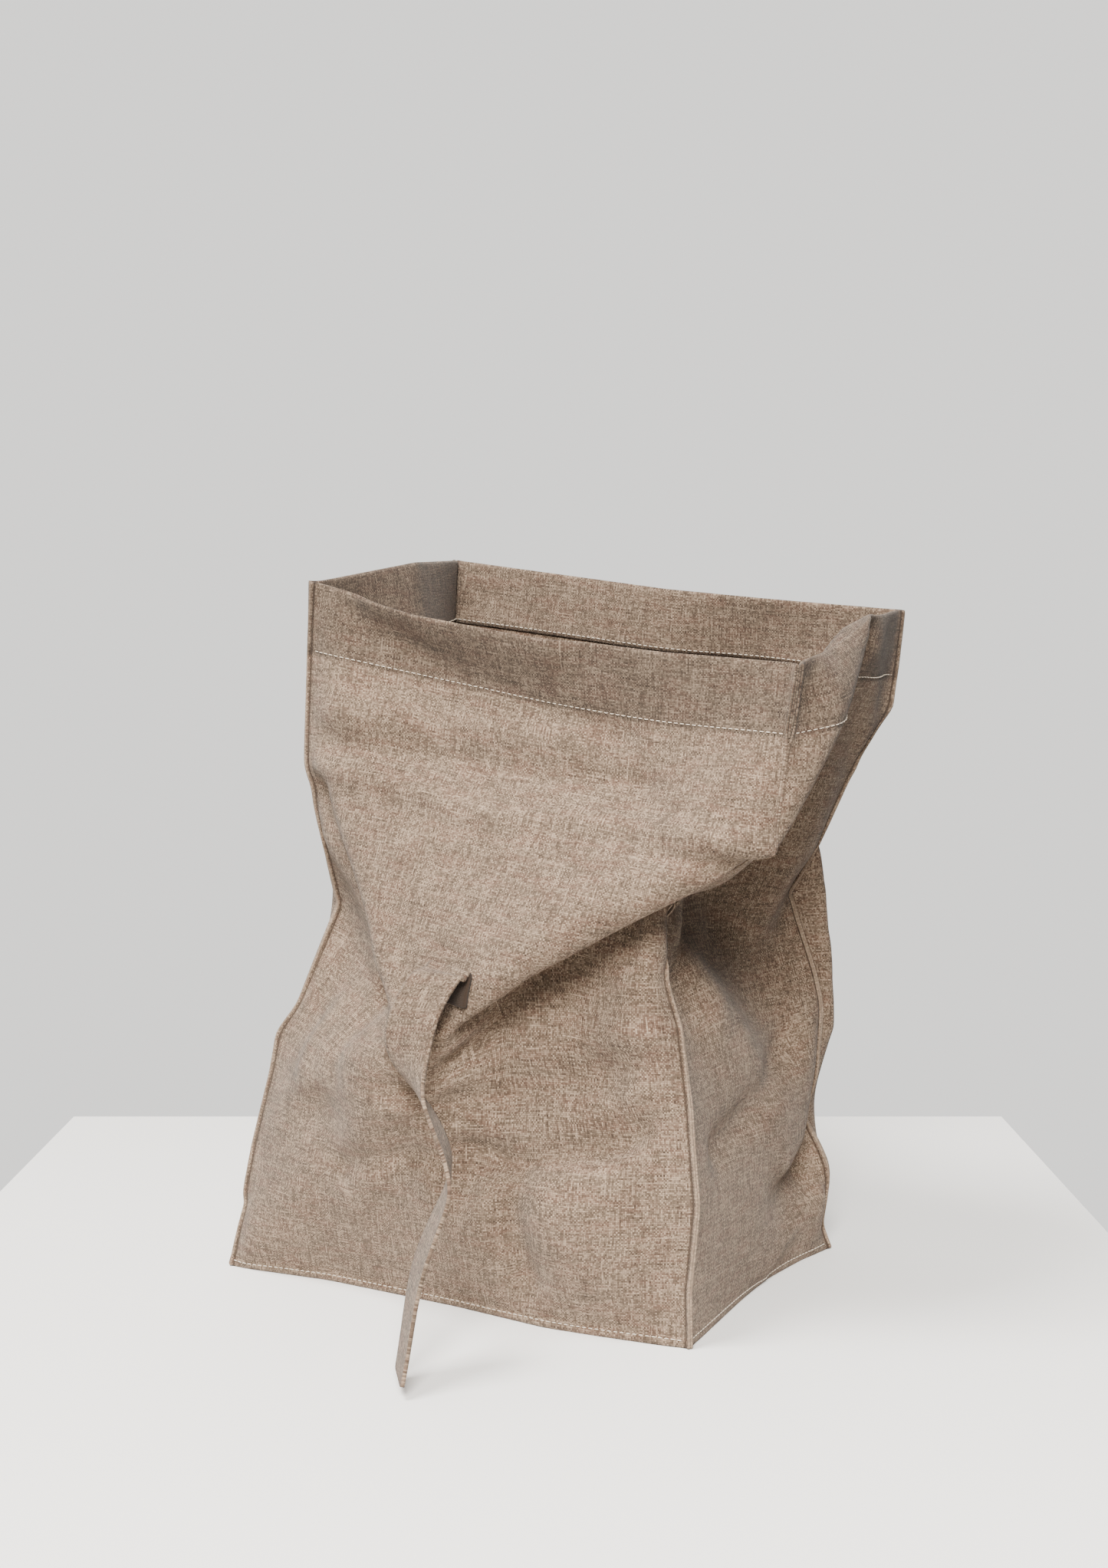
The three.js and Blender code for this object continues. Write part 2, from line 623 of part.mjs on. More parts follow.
function strapSolid() {
  const half = STRAP_WIDTH / 2;
  const lift = CLOTH / 2 + GAP + STRAP_THICKNESS / 2 + STRAP_EASE;
  const sewn = [0, 0.5, 1].map((share) => {
    const up = STRAP_TURN_UP - STRAP_SEWN * (1 - share);
    return [-half, 0, half].map((side) => onFront(WIDTH / 2 + side, up, lift));
  });
  const turn = [-half, 0, half].map((side) => {
    return onFront(WIDTH / 2 + side, STRAP_TURN_UP + STRAP_THICKNESS, lift + STRAP_THICKNESS);
  });
  const free = STRAP_ROWS.map((row) => {
    const angle = THREE.MathUtils.degToRad(row.turn);
    const side = new THREE.Vector3(Math.cos(angle), Math.sin(angle), 0);
    return [-half, 0, half].map((reach) => place(row).addScaledVector(side, reach));
  });
  const sheet = [...sewn, turn, ...free].map((row) => row.reverse());
  const outward = outwardOf(sheet);
  const offset = (depth) => sheet.map((row, i) => row.map((point, k) => {
    return point.clone().addScaledVector(outward[i][k], depth);
  }));
  return solidBetween(offset(STRAP_THICKNESS / 2), offset(-STRAP_THICKNESS / 2));
}

// ---------------------------------------------------------------- the bag

function addPiece(group, name, geometry, color) {
  const material = new THREE.MeshStandardMaterial({ color, roughness: 0.95, metalness: 0, flatShading: true });
  const piece = new THREE.Mesh(geometry, material);
  piece.name = name;
  group.add(piece);
}

const WALL_NAMES = ["front_panel", "right_gusset", "back_panel", "left_gusset"];
const bag = new THREE.Group();
WALL_NAMES.forEach((name, index) => addPiece(bag, name, wallSolid(index), LINEN));
addPiece(bag, "base_panel", basePanel(), LINEN);
addPiece(bag, "strap", strapSolid(), LINEN);

export default bag;
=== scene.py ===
"""A linen lunch bag: five pieces of cloth sewn into an open sack, and a flat strap on its front.

The walls are worked out as one tube of woven cloth that goes round the bag. It is held at its corner
seams, its rim, its base edge and its main folds, and it takes its own shape between them. Sizes of the bag
are in millimetres, and meshes are made in metres.
"""

import math
from collections import namedtuple

import bpy
import numpy as np
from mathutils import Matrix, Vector


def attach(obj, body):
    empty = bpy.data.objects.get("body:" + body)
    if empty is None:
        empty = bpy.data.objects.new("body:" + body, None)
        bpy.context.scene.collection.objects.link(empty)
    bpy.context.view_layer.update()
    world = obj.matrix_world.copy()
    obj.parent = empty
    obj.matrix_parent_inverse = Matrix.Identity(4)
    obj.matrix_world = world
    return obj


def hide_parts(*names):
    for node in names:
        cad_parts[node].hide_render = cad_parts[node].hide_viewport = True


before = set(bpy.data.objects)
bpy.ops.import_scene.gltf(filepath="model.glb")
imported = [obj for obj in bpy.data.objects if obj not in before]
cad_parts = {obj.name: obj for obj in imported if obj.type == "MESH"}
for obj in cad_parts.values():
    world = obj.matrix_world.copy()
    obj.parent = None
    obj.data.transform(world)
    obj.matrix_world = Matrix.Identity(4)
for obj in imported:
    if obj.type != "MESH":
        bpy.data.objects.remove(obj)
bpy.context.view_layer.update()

MM = 0.001

# ---- cut sizes

WIDTH = 200.0  # front and back, seam to seam
DEPTH = 134.0  # gussets, seam to seam
HEIGHT = 280.0  # walls, base edge to rim
HEM = 26.0
ROUND_LENGTH = 2 * (WIDTH + DEPTH)
CLOTH = 0.8  # thickness of one layer
LAYER_STEP = 1.0  # from the middle of one layer to the middle of the next
RIDGE = 2.0  # how far the sewn edges stand out at each corner
STRAP_WIDTH = 20.0
STRAP_THICKNESS = 1.3
STRAP_SEWN = 11.0
STRAP_TURN_UP = 150.0

# ---- the grid of the cloth

Panel = namedtuple("Panel", "name width columns seam")
PANELS = (
    Panel("front", WIDTH, 20, "front_left"),
    Panel("right", DEPTH, 13, "front_right"),
    Panel("back", WIDTH, 20, "back_right"),
    Panel("left", DEPTH, 13, "back_left"),
)
BODY_ROWS = 25
HEM_ROWS = 2
FINER = 3  # the second, finer pass has this many steps for each one of the first

# ---- where the cloth is held

Seam = namedtuple("Seam", "up x y z")
CORNER_SEAMS = {
    "front_left": (
        Seam(0, -98.5, -67, 0),
        Seam(17, -94, -66.5, 16.5),
        Seam(27, -91, -66, 26.4),
        Seam(31, -92, -66, 30),
        Seam(50, -88.5, -64.5, 49),
        Seam(80, -80.5, -63, 79),
        Seam(95, -79, -60.5, 94),
        Seam(106, -71.5, -57.5, 105),
        Seam(149, -62, -43, 144),
        Seam(213, -63.5, -62, 200),
        Seam(280, -59, -64, 269),
    ),
    "front_right": (
        Seam(0, 100, -67, 0),
        Seam(20, 99.5, -67, 20),
        Seam(50, 102.5, -67, 51),
        Seam(84, 98, -64, 84.5),
        Seam(98, 94, -61, 98),
        Seam(113, 90.5, -60, 113),
        Seam(127, 84.5, -56.5, 127),
        Seam(138, 80, -53, 137),
        Seam(151, 78.5, -51, 150),
        Seam(171, 90, -52, 162),
        Seam(192, 108, -56, 168),
        Seam(213, 128, -62, 175.5),
        Seam(280, 136.5, -60, 239.5),
    ),
    "back_right": (
        Seam(0, 100, 66.5, 0),
        Seam(11, 96, 66.5, 10),
        Seam(20, 97.5, 66.5, 19),
        Seam(31, 99, 66.5, 30),
        Seam(38, 98, 66.5, 36),
        Seam(46, 94, 67, 43.5),
        Seam(54, 88.5, 67.5, 51),
        Seam(64, 89.5, 67.5, 60),
        Seam(75, 93, 67.5, 71),
        Seam(104, 95.5, 67.5, 100),
        Seam(117, 93, 68, 112),
        Seam(135, 87, 68, 129),
        Seam(152, 81, 68, 145),
        Seam(178, 94, 63, 165),
        Seam(205, 106, 62, 190),
        Seam(221, 113, 62, 204),
        Seam(244, 125, 62, 222),
        Seam(280, 128, 64, 258.6),
    ),
    "back_left": (
        Seam(0, -100, 67, 0),
        Seam(140, -87, 66, 140),
        Seam(280, -74, 65, 281),
    ),
}

Edge = namedtuple("Edge", "across x y z")
RIM = {
    "front": (Edge(50, -12, -64, 257), Edge(100, 37, -63, 248.5), Edge(150, 86, -62, 243)),
    "right": (Edge(34, 137, -31, 244.5), Edge(67, 140.5, -1, 255)),
    "back": (Edge(100, 27, 65, 267.5),),
    "left": (Edge(67, -55, 1, 278),),
}
BASE_EDGE = {
    "front": (Edge(45, -55, -63, 0), Edge(105, 5, -66, 0), Edge(145, 45, -71, 0)),
    "right": (Edge(54, 95, -13, 0), Edge(82, 93, 15, 0), Edge(115, 96, 48, 0)),
    "back": (Edge(100, 0, 67, 0),),
    "left": (Edge(67, -95, 0, 0),),
}

Spot = namedtuple("Spot", "across up x y z")
Fold = namedtuple("Fold", "name panel hold crease line")
FOLDS = (
    Fold("flap edge right", "front", 0.9, 1.0, (
        Spot(200, 213, 128, -62, 175.5), Spot(167, 182, 88, -76, 153.5),
        Spot(133, 152, 49, -88, 131), Spot(105, 129, 20, -95, 110),
    )),
    Fold("flap edge left", "front", 0.5, 0.0, (
        Spot(0, 213, -63.5, -62, 200), Spot(105, 129, 20, -95, 110),
    )),
    Fold("flap crease", "front", 0.4, 0.5, (
        Spot(56, 216, -10, -66, 196.5), Spot(97, 217, 30, -67, 190),
        Spot(147, 217, 79, -66, 184),
    )),
    Fold("hollow under the flap", "front", 0.6, 0.0, (
        Spot(184, 164, 79, -61, 164), Spot(150, 132, 42, -62, 136),
        Spot(124, 110, 25, -70, 110), Spot(122, 95, 26, -74, 92),
        Spot(125, 76, 31, -77, 72),
    )),
    Fold("belly trough", "front", 0.4, 0.0, (
        Spot(125, 76, 31, -77, 72), Spot(150, 77, 54, -73, 74),
        Spot(175, 79, 77, -69, 76),
    )),
    Fold("nose", "front", 0.4, 0.0, (
        Spot(105, 129, 20, -95, 110), Spot(99, 104, 11, -95, 93),
        Spot(96, 77, 5, -92, 75), Spot(95, 50, 2, -87, 50),
    )),
    Fold("belly right", "front", 0.4, 0.0, (
        Spot(125, 50, 28, -86, 49), Spot(150, 50, 53, -83, 49),
        Spot(172, 50, 75, -76, 50),
    )),
    Fold("belly left", "front", 0.3, 0.0, (
        Spot(45, 77, -42, -82, 75), Spot(45, 50, -46, -82, 50),
    )),
    Fold("gusset crease front", "right", 0.9, 1.0, (
        Spot(67, 280, 140.5, -1, 255), Spot(39, 252, 137.5, -28, 222.5),
        Spot(20, 233, 134, -46, 199), Spot(0, 213, 128, -62, 175.5),
    )),
    Fold("gusset crease rear", "right", 0.7, 1.0, (
        Spot(67, 280, 140.5, -1, 255), Spot(100, 246, 125, 30, 226),
        Spot(134, 213, 110, 62.5, 196),
    )),
    Fold("gusset hollow right", "right", 0.8, 0.0, (
        Spot(67, 213, 101, -1, 190), Spot(67, 185, 84, 3, 171),
        Spot(67, 158, 65, 8, 151), Spot(67, 130, 70, 7, 125.5),
        Spot(67, 100, 88, 5, 99.5),
    )),
    Fold("gusset tuck", "right", 0.7, 0.0, (
        Spot(33, 213, 113, -31, 183), Spot(33, 185, 88, -26, 168),
        Spot(33, 158, 70, -18, 151),
    )),
    Fold("gusset upper ridge", "right", 0.5, 0.0, (
        Spot(113, 57, 97, 48, 51), Spot(95, 47, 98, 30, 42),
    )),
    Fold("gusset dent right", "right", 0.7, 0.0, (
        Spot(119, 37, 88, 54, 34), Spot(100, 36, 91, 35, 34),
    )),
    Fold("gusset lower ridge", "right", 0.7, 1.0, (
        Spot(126, 25, 100.5, 60, 25), Spot(107, 18, 99, 42, 18),
        Spot(90, 11, 98, 25, 10), Spot(78, 4, 95.5, 12, 3),
    )),
    Fold("back ridge", "back", 0.7, 0.0, (
        Spot(8, 95, 99.5, 73, 90), Spot(12, 126, 98, 73, 121),
        Spot(15, 152, 95, 74, 146), Spot(17, 190, 86, 74, 182),
    )),
    Fold("back valley", "back", 0.4, 0.0, (
        Spot(42, 120, 66, 67, 119), Spot(45, 150, 66, 65, 146),
        Spot(45, 180, 64, 64, 175),
    )),
    Fold("gusset hollow left", "left", 0.6, 1.0, (
        Spot(67, 280, -55, 1, 278), Spot(67, 250, -50, 1, 248),
        Spot(67, 213, -44, 2, 205), Spot(67, 150, -42, 5, 141),
    )),
    Fold("gusset lower hollow left", "left", 0.4, 0.0, (
        Spot(67, 150, -42, 5, 141), Spot(67, 100, -66, 2, 99),
        Spot(67, 50, -83, 0, 50),
    )),
)
FOLD_SAMPLE = 5.0  # spacing of the held spots along a fold

# Low ridges (out above 0) and troughs (out below 0) along lines on the cloth. They fade over their width,
# in millimetres. Across is measured from the panel's left seam, seen from outside.
SoftFold = namedtuple("SoftFold", "name panel out width line")
At = namedtuple("At", "across up")
SOFT_FOLDS = (
    SoftFold("ridge under the hem", "front", 2.6, 6, (At(16, 236), At(40, 238), At(80, 241), At(112, 244))),
    SoftFold("trough under it", "front", -3.0, 5, (
        At(14, 223), At(40, 224), At(80, 226), At(120, 230), At(145, 232))),
    SoftFold("flap crease", "front", 3.2, 3.5, (
        At(10, 213), At(40, 213), At(80, 208), At(97, 209), At(120, 214), At(160, 216),
        At(196, 214))),
    SoftFold("rim rolled out", "front", 3.0, 9, (At(30, 280), At(70, 279), At(105, 276))),
    SoftFold("trough across the hem", "front", -2.2, 5, (
        At(22, 272), At(50, 264), At(80, 257), At(110, 252), At(135, 249))),
    SoftFold("valley left of the flap", "front", -5.0, 6, (
        At(8, 203), At(13, 195), At(26, 178), At(40, 160), At(48, 146), At(51, 132))),
    SoftFold("slit under the flap", "front", -4.0, 3.4, (At(160, 206), At(178, 206), At(197, 205))),
    SoftFold("flat before the pinched seam", "front", -4.0, 6, (At(184, 136), At(184, 160))),
    SoftFold("left edge of the flap", "front", 2.0, 6, (
        At(20, 203), At(34, 185), At(52, 162), At(62, 146))),
    SoftFold("valley further down", "front", -2.2, 6, (At(52, 122), At(52, 105), At(56, 92))),
    SoftFold("ridge left of it", "front", 2.0, 6, (At(28, 120), At(28, 100), At(32, 88))),
    SoftFold("full belly", "front", 4.0, 13, (At(132, 102), At(150, 104), At(182, 108))),
    SoftFold("first belly ridge", "front", 1.6, 5, (
        At(118, 101), At(140, 103), At(165, 106), At(194, 111))),
    SoftFold("first belly trough", "front", -3.4, 5, (At(110, 84), At(128, 87), At(157, 93), At(185, 100))),
    SoftFold("second belly ridge", "front", 2.6, 4, (
        At(114, 79), At(127, 77), At(147, 79), At(168, 84), At(185, 90))),
    SoftFold("second belly trough", "front", -6.0, 5, (
        At(110, 68), At(127, 65), At(147, 67), At(168, 71), At(184, 76))),
    SoftFold("trough left of the strap", "front", -4.0, 5, (
        At(58, 56), At(70, 61), At(85, 63), At(102, 62))),
    SoftFold("belly swell", "front", 5.0, 16, (At(160, 42), At(168, 28))),
    SoftFold("upright belly valley", "front", -6.0, 7, (
        At(136, 58), At(134, 45), At(136, 30), At(138, 18))),
    SoftFold("pinched seam stands out", "right", 4.0, 6, (At(0, 138), At(0, 162))),
    SoftFold("gusset fills out", "right", 8.0, 15, (At(38, 146), At(44, 132), At(50, 114))),
    SoftFold("gusset crease", "right", 1.8, 4, (At(62, 276), At(39, 252), At(20, 233), At(4, 216))),
    SoftFold("pocket behind the crease", "right", -11.0, 8, (
        At(78, 270), At(55, 245), At(36, 226), At(20, 208))),
    SoftFold("slanting gusset trough", "right", -5.0, 7, (
        At(112, 96), At(98, 88), At(80, 77), At(55, 69), At(28, 64))),
)

# ---- how the cloth gives way

CREASE_SPARED = 0.9  # how much of the smoothing a pressed crease is spared
CREASE_FADE = 4.0  # the smoothing comes back over this much cloth beside it
CREASE_CORE = 0.3  # and begins to come back this share of that away

FIRM_HOLD = 1.0
RIM_HOLD = 0.7
SPREAD_ROUNDS = 1200
COARSE_ROUNDS = 320
FINE_ROUNDS = 160
STIFFNESS = 0.2  # how much a round smooths bends
SHEAR = 0.3  # woven cloth gives way on the bias
TINY = 1e-6


class Grid:
    """The lines of the cloth: columns go round the bag and rows go up it."""

    def __init__(self, finer):
        self.start = {}
        self.first = {}
        self.count = {}
        around = []
        begin = 0.0
        for panel in PANELS:
            columns = panel.columns * finer
            self.start[panel.name] = begin
            self.first[panel.name] = len(around)
            self.count[panel.name] = columns
            around += [begin + panel.width * i / columns for i in range(columns)]
            begin += panel.width
        body = np.linspace(0, HEIGHT - HEM, BODY_ROWS * finer + 1)
        hem = np.linspace(HEIGHT - HEM, HEIGHT, HEM_ROWS * finer + 1)[1:]
        self.around = np.array(around)
        self.up = np.concatenate([body, hem])
        self.column_steps = np.diff(np.append(self.around, ROUND_LENGTH))
        self.row_steps = np.diff(self.up)
        self.columns = len(self.around)
        self.rows = len(self.up)

    def corners(self, around, up):
        """Rows, columns and shares of the four grid points round a spot on the cloth."""
        around = around % ROUND_LENGTH
        column = int(np.searchsorted(self.around, around + TINY) - 1)
        row = min(self.rows - 2, int(np.searchsorted(self.up, up + TINY) - 1))
        across = (around - self.around[column]) / self.column_steps[column]
        above = (up - self.up[row]) / self.row_steps[row]
        right = (column + 1) % self.columns
        shares = ((1 - across) * (1 - above), across * (1 - above), (1 - across) * above, across * above)
        return (row, row, row + 1, row + 1), (column, right, column, right), shares


def box_point(around, up):
    """A spot of the cloth on a plain open box of the cut sizes."""
    if around <= WIDTH:
        return np.array([around - WIDTH / 2, -DEPTH / 2, up])
    if around <= WIDTH + DEPTH:
        return np.array([WIDTH / 2, around - WIDTH - DEPTH / 2, up])
    if around <= 2 * WIDTH + DEPTH:
        return np.array([1.5 * WIDTH + DEPTH - around, DEPTH / 2, up])
    return np.array([-WIDTH / 2, 2 * WIDTH + 1.5 * DEPTH - around, up])


def between(rows, key, value):
    """The place between two rows of a table, by the column named key."""
    keys = [getattr(row, key) for row in rows]
    return np.array([np.interp(value, keys, [getattr(row, axis) for row in rows]) for axis in "xyz"])


def distance_from(across, up, a, b):
    """How far spots of the cloth are from the straight line between two of its spots."""
    way = np.array([b.across - a.across, b.up - a.up])
    from_a = np.stack([across - a.across, up - a.up], axis=-1)
    share = np.clip((from_a @ way) / (way @ way), 0, 1)
    return np.linalg.norm(from_a - share[..., None] * way, axis=-1)


class Holds:
    """Spots of the cloth that are held at places in the air."""

    def __init__(self, grid):
        self.grid = grid
        self.entries = []
        self.add_corner_seams()
        self.add_edge(BASE_EDGE, 0.0, FIRM_HOLD)
        self.add_edge(RIM, HEIGHT, RIM_HOLD)
        self.add_folds(FOLDS)
        self.pack()

    def add(self, panel, across, up, target, strength):
        around = self.grid.start[panel] + across
        self.entries.append((self.grid.corners(around, up), target, box_point(around, up), strength))

    def add_corner_seams(self):
        for panel in PANELS:
            for up in self.grid.up:
                target = between(CORNER_SEAMS[panel.seam], "up", up)
                self.add(panel.name, 0, up, target, FIRM_HOLD)

    def add_edge(self, table, up, strength):
        for index, panel in enumerate(PANELS):
            following = PANELS[(index + 1) % len(PANELS)]
            start = between(CORNER_SEAMS[panel.seam], "up", up)
            end = between(CORNER_SEAMS[following.seam], "up", up)
            line = (Edge(0, *start), *table[panel.name], Edge(panel.width, *end))
            columns = self.grid.count[panel.name]
            for i in range(1, columns):
                across = panel.width * i / columns
                self.add(panel.name, across, up, between(line, "across", across), strength)

    def add_folds(self, folds):
        for fold in folds:
            for index, (a, b) in enumerate(zip(fold.line, fold.line[1:])):
                steps = math.ceil(math.hypot(b.across - a.across, b.up - a.up) / FOLD_SAMPLE)
                for step in range(1 if index else 0, steps + 1):
                    spot = np.array(a) + (np.array(b) - np.array(a)) * (step / steps)
                    self.add(fold.panel, spot[0], spot[1], spot[2:], fold.hold)

    def softness(self):
        """How much each grid point is smoothed: little on a pressed crease, and fully away from it."""
        soft = np.ones((self.grid.rows, self.grid.columns))
        up, around = np.meshgrid(self.grid.up, self.grid.around, indexing="ij")
        for fold in FOLDS:
            start = self.grid.start[fold.panel]
            for a, b in zip(fold.line, fold.line[1:]):
                away = distance_from(around - start, up, a, b)
                near = np.clip(1 + CREASE_CORE - away / CREASE_FADE, 0, 1)
                soft = np.minimum(soft, 1 - fold.crease * CREASE_SPARED * near)
        return soft[..., None]

    def pack(self):
        """The entries as arrays, one for each part of an entry."""
        corners, targets, boxes, strengths = zip(*self.entries)
        self.rows, self.columns, self.shares = (np.array(part) for part in zip(*corners))
        self.targets = np.array(targets)
        self.boxes = np.array(boxes)
        self.strengths = np.array(strengths)
        self.total = np.zeros((self.grid.rows, self.grid.columns))
        np.add.at(self.total, (self.rows, self.columns), self.shares)

    def draw(self, points, wanted, strengths):
        """Moves each grid point by the mean of what the held spots round it ask."""
        now = (points[self.rows, self.columns] * self.shares[..., None]).sum(axis=1)
        way = (wanted - now) * strengths[:, None]
        moved = np.zeros_like(points)
        np.add.at(moved, (self.rows, self.columns), way[:, None, :] * self.shares[..., None])
        points += moved / np.maximum(self.total, TINY)[..., None]


def start_shape(grid, holds):
    """The box moved so that the held spots are in place and all between them follows evenly."""
    shift = np.zeros((grid.rows, grid.columns, 3))
    wanted = holds.targets - holds.boxes
    whole = np.ones(len(wanted))
    for _ in range(SPREAD_ROUNDS):
        below = np.vstack([shift[1:2], shift[:-1]])
        above = np.vstack([shift[1:], shift[-2:-1]])
        shift = (below + above + np.roll(shift, 1, axis=1) + np.roll(shift, -1, axis=1)) / 4
        holds.draw(shift, wanted, whole)
    box = np.array([[box_point(around, up) for around in grid.around] for up in grid.up])
    return box + shift


def keep_length(points, a, b, lengths, share):
    """Brings pairs of points to the length of cloth between them, or a share of the way there."""
    way = points[b] - points[a]
    distance = np.linalg.norm(way, axis=-1, keepdims=True)
    way *= 0.5 * share * (distance - lengths) / distance
    points[a] += way
    points[b] -= way


def relax(grid, holds, points, rounds):
    """The cloth after rounds of keeping its threads' lengths, smoothing its bends and holding it."""
    columns = np.arange(grid.columns)
    rows = np.arange(grid.rows)
    seams = np.array(list(grid.first.values()))
    diagonal = np.hypot(grid.row_steps[:, None], grid.column_steps[None, :])

    def keep_threads():
        for parity in (0, 1):
            a = columns[parity::2]
            b = (a + 1) % grid.columns
            lengths = grid.column_steps[a][None, :, None]
            keep_length(points, (slice(None), a), (slice(None), b), lengths, 1.0)
        for parity in (0, 1):
            a = rows[parity:-1:2]
            keep_length(points, a, a + 1, grid.row_steps[a][:, None, None], 1.0)

    def keep_square():
        for row_parity in (0, 1):
            low = rows[row_parity:-1:2][:, None]
            for column_parity in (0, 1):
                left = columns[column_parity::2][None, :]
                right = (left + 1) % grid.columns
                lengths = diagonal[low, left][..., None]
                keep_length(points, (low, left), (low + 1, right), lengths, SHEAR)
                keep_length(points, (low + 1, left), (low, right), lengths, SHEAR)

    def bend_across(values):
        bend = (np.roll(values, 1, axis=1) + np.roll(values, -1, axis=1)) / 2 - values
        bend[:, seams] = 0
        return bend

    def bend_up(values):
        bend = np.zeros_like(values)
        bend[1:-1] = (values[:-2] + values[2:]) / 2 - values[1:-1]
        return bend

    soft = holds.softness()
    for _ in range(rounds):
        keep_threads()
        keep_square()
        bends = bend_across(soft * bend_across(points)) + bend_up(soft * bend_up(points))
        points -= STIFFNESS * bends
        holds.draw(points, holds.targets, holds.strengths)
    return points


def refine(coarse, fine, points):
    """The points of the first grid brought to the finer one."""
    columns = np.append(coarse.around, ROUND_LENGTH)
    closed = np.concatenate([points, points[:, :1]], axis=1)
    finer = np.empty((fine.rows, fine.columns, 3))
    for axis in range(3):
        across = np.array([np.interp(fine.around, columns, row) for row in closed[..., axis]])
        finer[..., axis] = np.array([np.interp(fine.up, coarse.up, column) for column in across.T]).T
    return finer


def shape_cloth():
    """The fine grid and its relaxed points."""
    coarse = Grid(1)
    coarse_holds = Holds(coarse)
    points = start_shape(coarse, coarse_holds)
    points = relax(coarse, coarse_holds, points, COARSE_ROUNDS)
    fine = Grid(FINER)
    fine_points = refine(coarse, fine, points)
    return fine, relax(fine, Holds(fine), fine_points, FINE_ROUNDS)


def with_soft_folds(grid, cloth):
    """The relaxed cloth with its low ridges and troughs."""
    across = np.roll(cloth, -1, axis=1) - np.roll(cloth, 1, axis=1)
    outward = unit(np.cross(across, np.gradient(cloth, axis=0)))
    up, around = np.meshgrid(grid.up, grid.around, indexing="ij")
    lift = np.zeros_like(up)
    for fold in SOFT_FOLDS:
        away = np.full_like(up, np.inf)
        from_panel = around - grid.start[fold.panel]
        for a, b in zip(fold.line, fold.line[1:]):
            away = np.minimum(away, distance_from(from_panel, up, a, b))
        lift += fold.out * np.exp(-((away / fold.width) ** 2))
    return cloth + outward * lift[..., None]


# ---- sheets of cloth


def outward_of(sheet):
    """The direction out of a sheet at each of its points. Rows go up and columns across."""
    return unit(np.cross(np.gradient(sheet, axis=1), np.gradient(sheet, axis=0)))


def unit(vectors):
    """The same directions, each of length 1."""
    return vectors / np.maximum(np.linalg.norm(vectors, axis=-1, keepdims=True), 1e-9)


def panel_points(grid, cloth, panel):
    """The columns of one wall, its two seams among them."""
    first = grid.first[panel.name]
    columns = (first + np.arange(grid.count[panel.name] + 1)) % grid.columns
    return cloth[:, columns].copy()


def ridge_between(before, after):
    """The way out of the sewn ridge where two walls meet, and the way across it to the second one."""
    way_before = unit(before[:, -2] - before[:, -1])
    way_after = unit(after[:, 1] - after[:, 0])
    out = unit(outward_of(before)[:, -1] + outward_of(after)[:, 0] - way_before - way_after)
    side = way_after - way_before
    side -= (side * out).sum(axis=-1, keepdims=True) * out
    return out, unit(side)


NOT_SEWN = -10.0  # what the UV map "edge" says away from the sewn edges


def add_object(name, data):
    added = bpy.data.objects.new(name, data)
    bpy.context.scene.collection.objects.link(added)
    return added


def mesh_object(name, points, faces, material):
    """An object of one material, shaded smooth."""
    mesh = bpy.data.meshes.new(name)
    mesh.from_pydata(points, [], faces)
    mesh.polygons.foreach_set("use_smooth", [True] * len(faces))
    mesh.materials.append(material)
    return add_object(name, mesh)


def cloth_object(name, points, uvs, material, thickness=CLOTH, finer=1, stands=None):
    """A sheet as a mesh: rows by columns of points in millimetres, with its flat-cloth coordinates as UVs.

    The second UV map, edge, says how far each point stands out of a sewn edge, in millimetres; the material
    paints shade and highlight from it.
    """
    rows, columns = points.shape[:2]
    index = np.arange(rows * columns).reshape(rows, columns)
    corners = np.stack([index[:-1, :-1], index[:-1, 1:], index[1:, 1:], index[1:, :-1]], axis=-1)
    faces = corners.reshape(-1, 4)
    sheet = mesh_object(name, (points.reshape(-1, 3) * MM).tolist(), faces.tolist(), material)
    stands = np.full((rows, columns), NOT_SEWN) if stands is None else stands
    edge = np.stack([stands, np.zeros_like(stands)], axis=-1)
    for layer, values in (("cloth", uvs), ("edge", edge)):
        uv_map = sheet.data.uv_layers.new(name=layer)
        uv_map.data.foreach_set("uv", values.reshape(-1, 2)[faces.ravel()].ravel())
    if finer:
        smooth = sheet.modifiers.new("smooth", "SUBSURF")
        smooth.levels = finer
        smooth.render_levels = finer
    solid = sheet.modifiers.new("thickness", "SOLIDIFY")
    solid.thickness = thickness * MM
    solid.offset = 0.0
    return sheet


# The bottom of a wall swells where it is sewn to the base: how high, and which share of the bead stands out.
Bead = namedtuple("Bead", "up out")
BEAD = (Bead(0.3, 0.8), Bead(1.2, 1.0), Bead(2.2, 0.95), Bead(2.9, 0.4))
BEAD_OUT = {"front": 1.7, "right": 0.5, "back": 1.2, "left": 1.5}
TURNED_IN = 4.0  # an edge that is turned in counts as standing out this many times further, which gives it the painted shade of a turned-in edge
BEAD_FADE = 5  # columns over which the bead fades out at the corners
LEVEL = (1, 1, 0)  # takes the height out of a direction
RIDGE_STEPS = (0.4, 1.0)  # shares of the ridge's reach, one column each
SEWN_GAP = 0.01  # between the two edges of a ridge
HEM_EASE = 6.0  # over this height they move apart, to make room for the hems
TURN_UP = 0.35  # the folded edge of the rim stands above its last row
HEM_BEND = 1.0  # of cloth in that fold
UV_APART = 30  # between the flat cloth of two walls

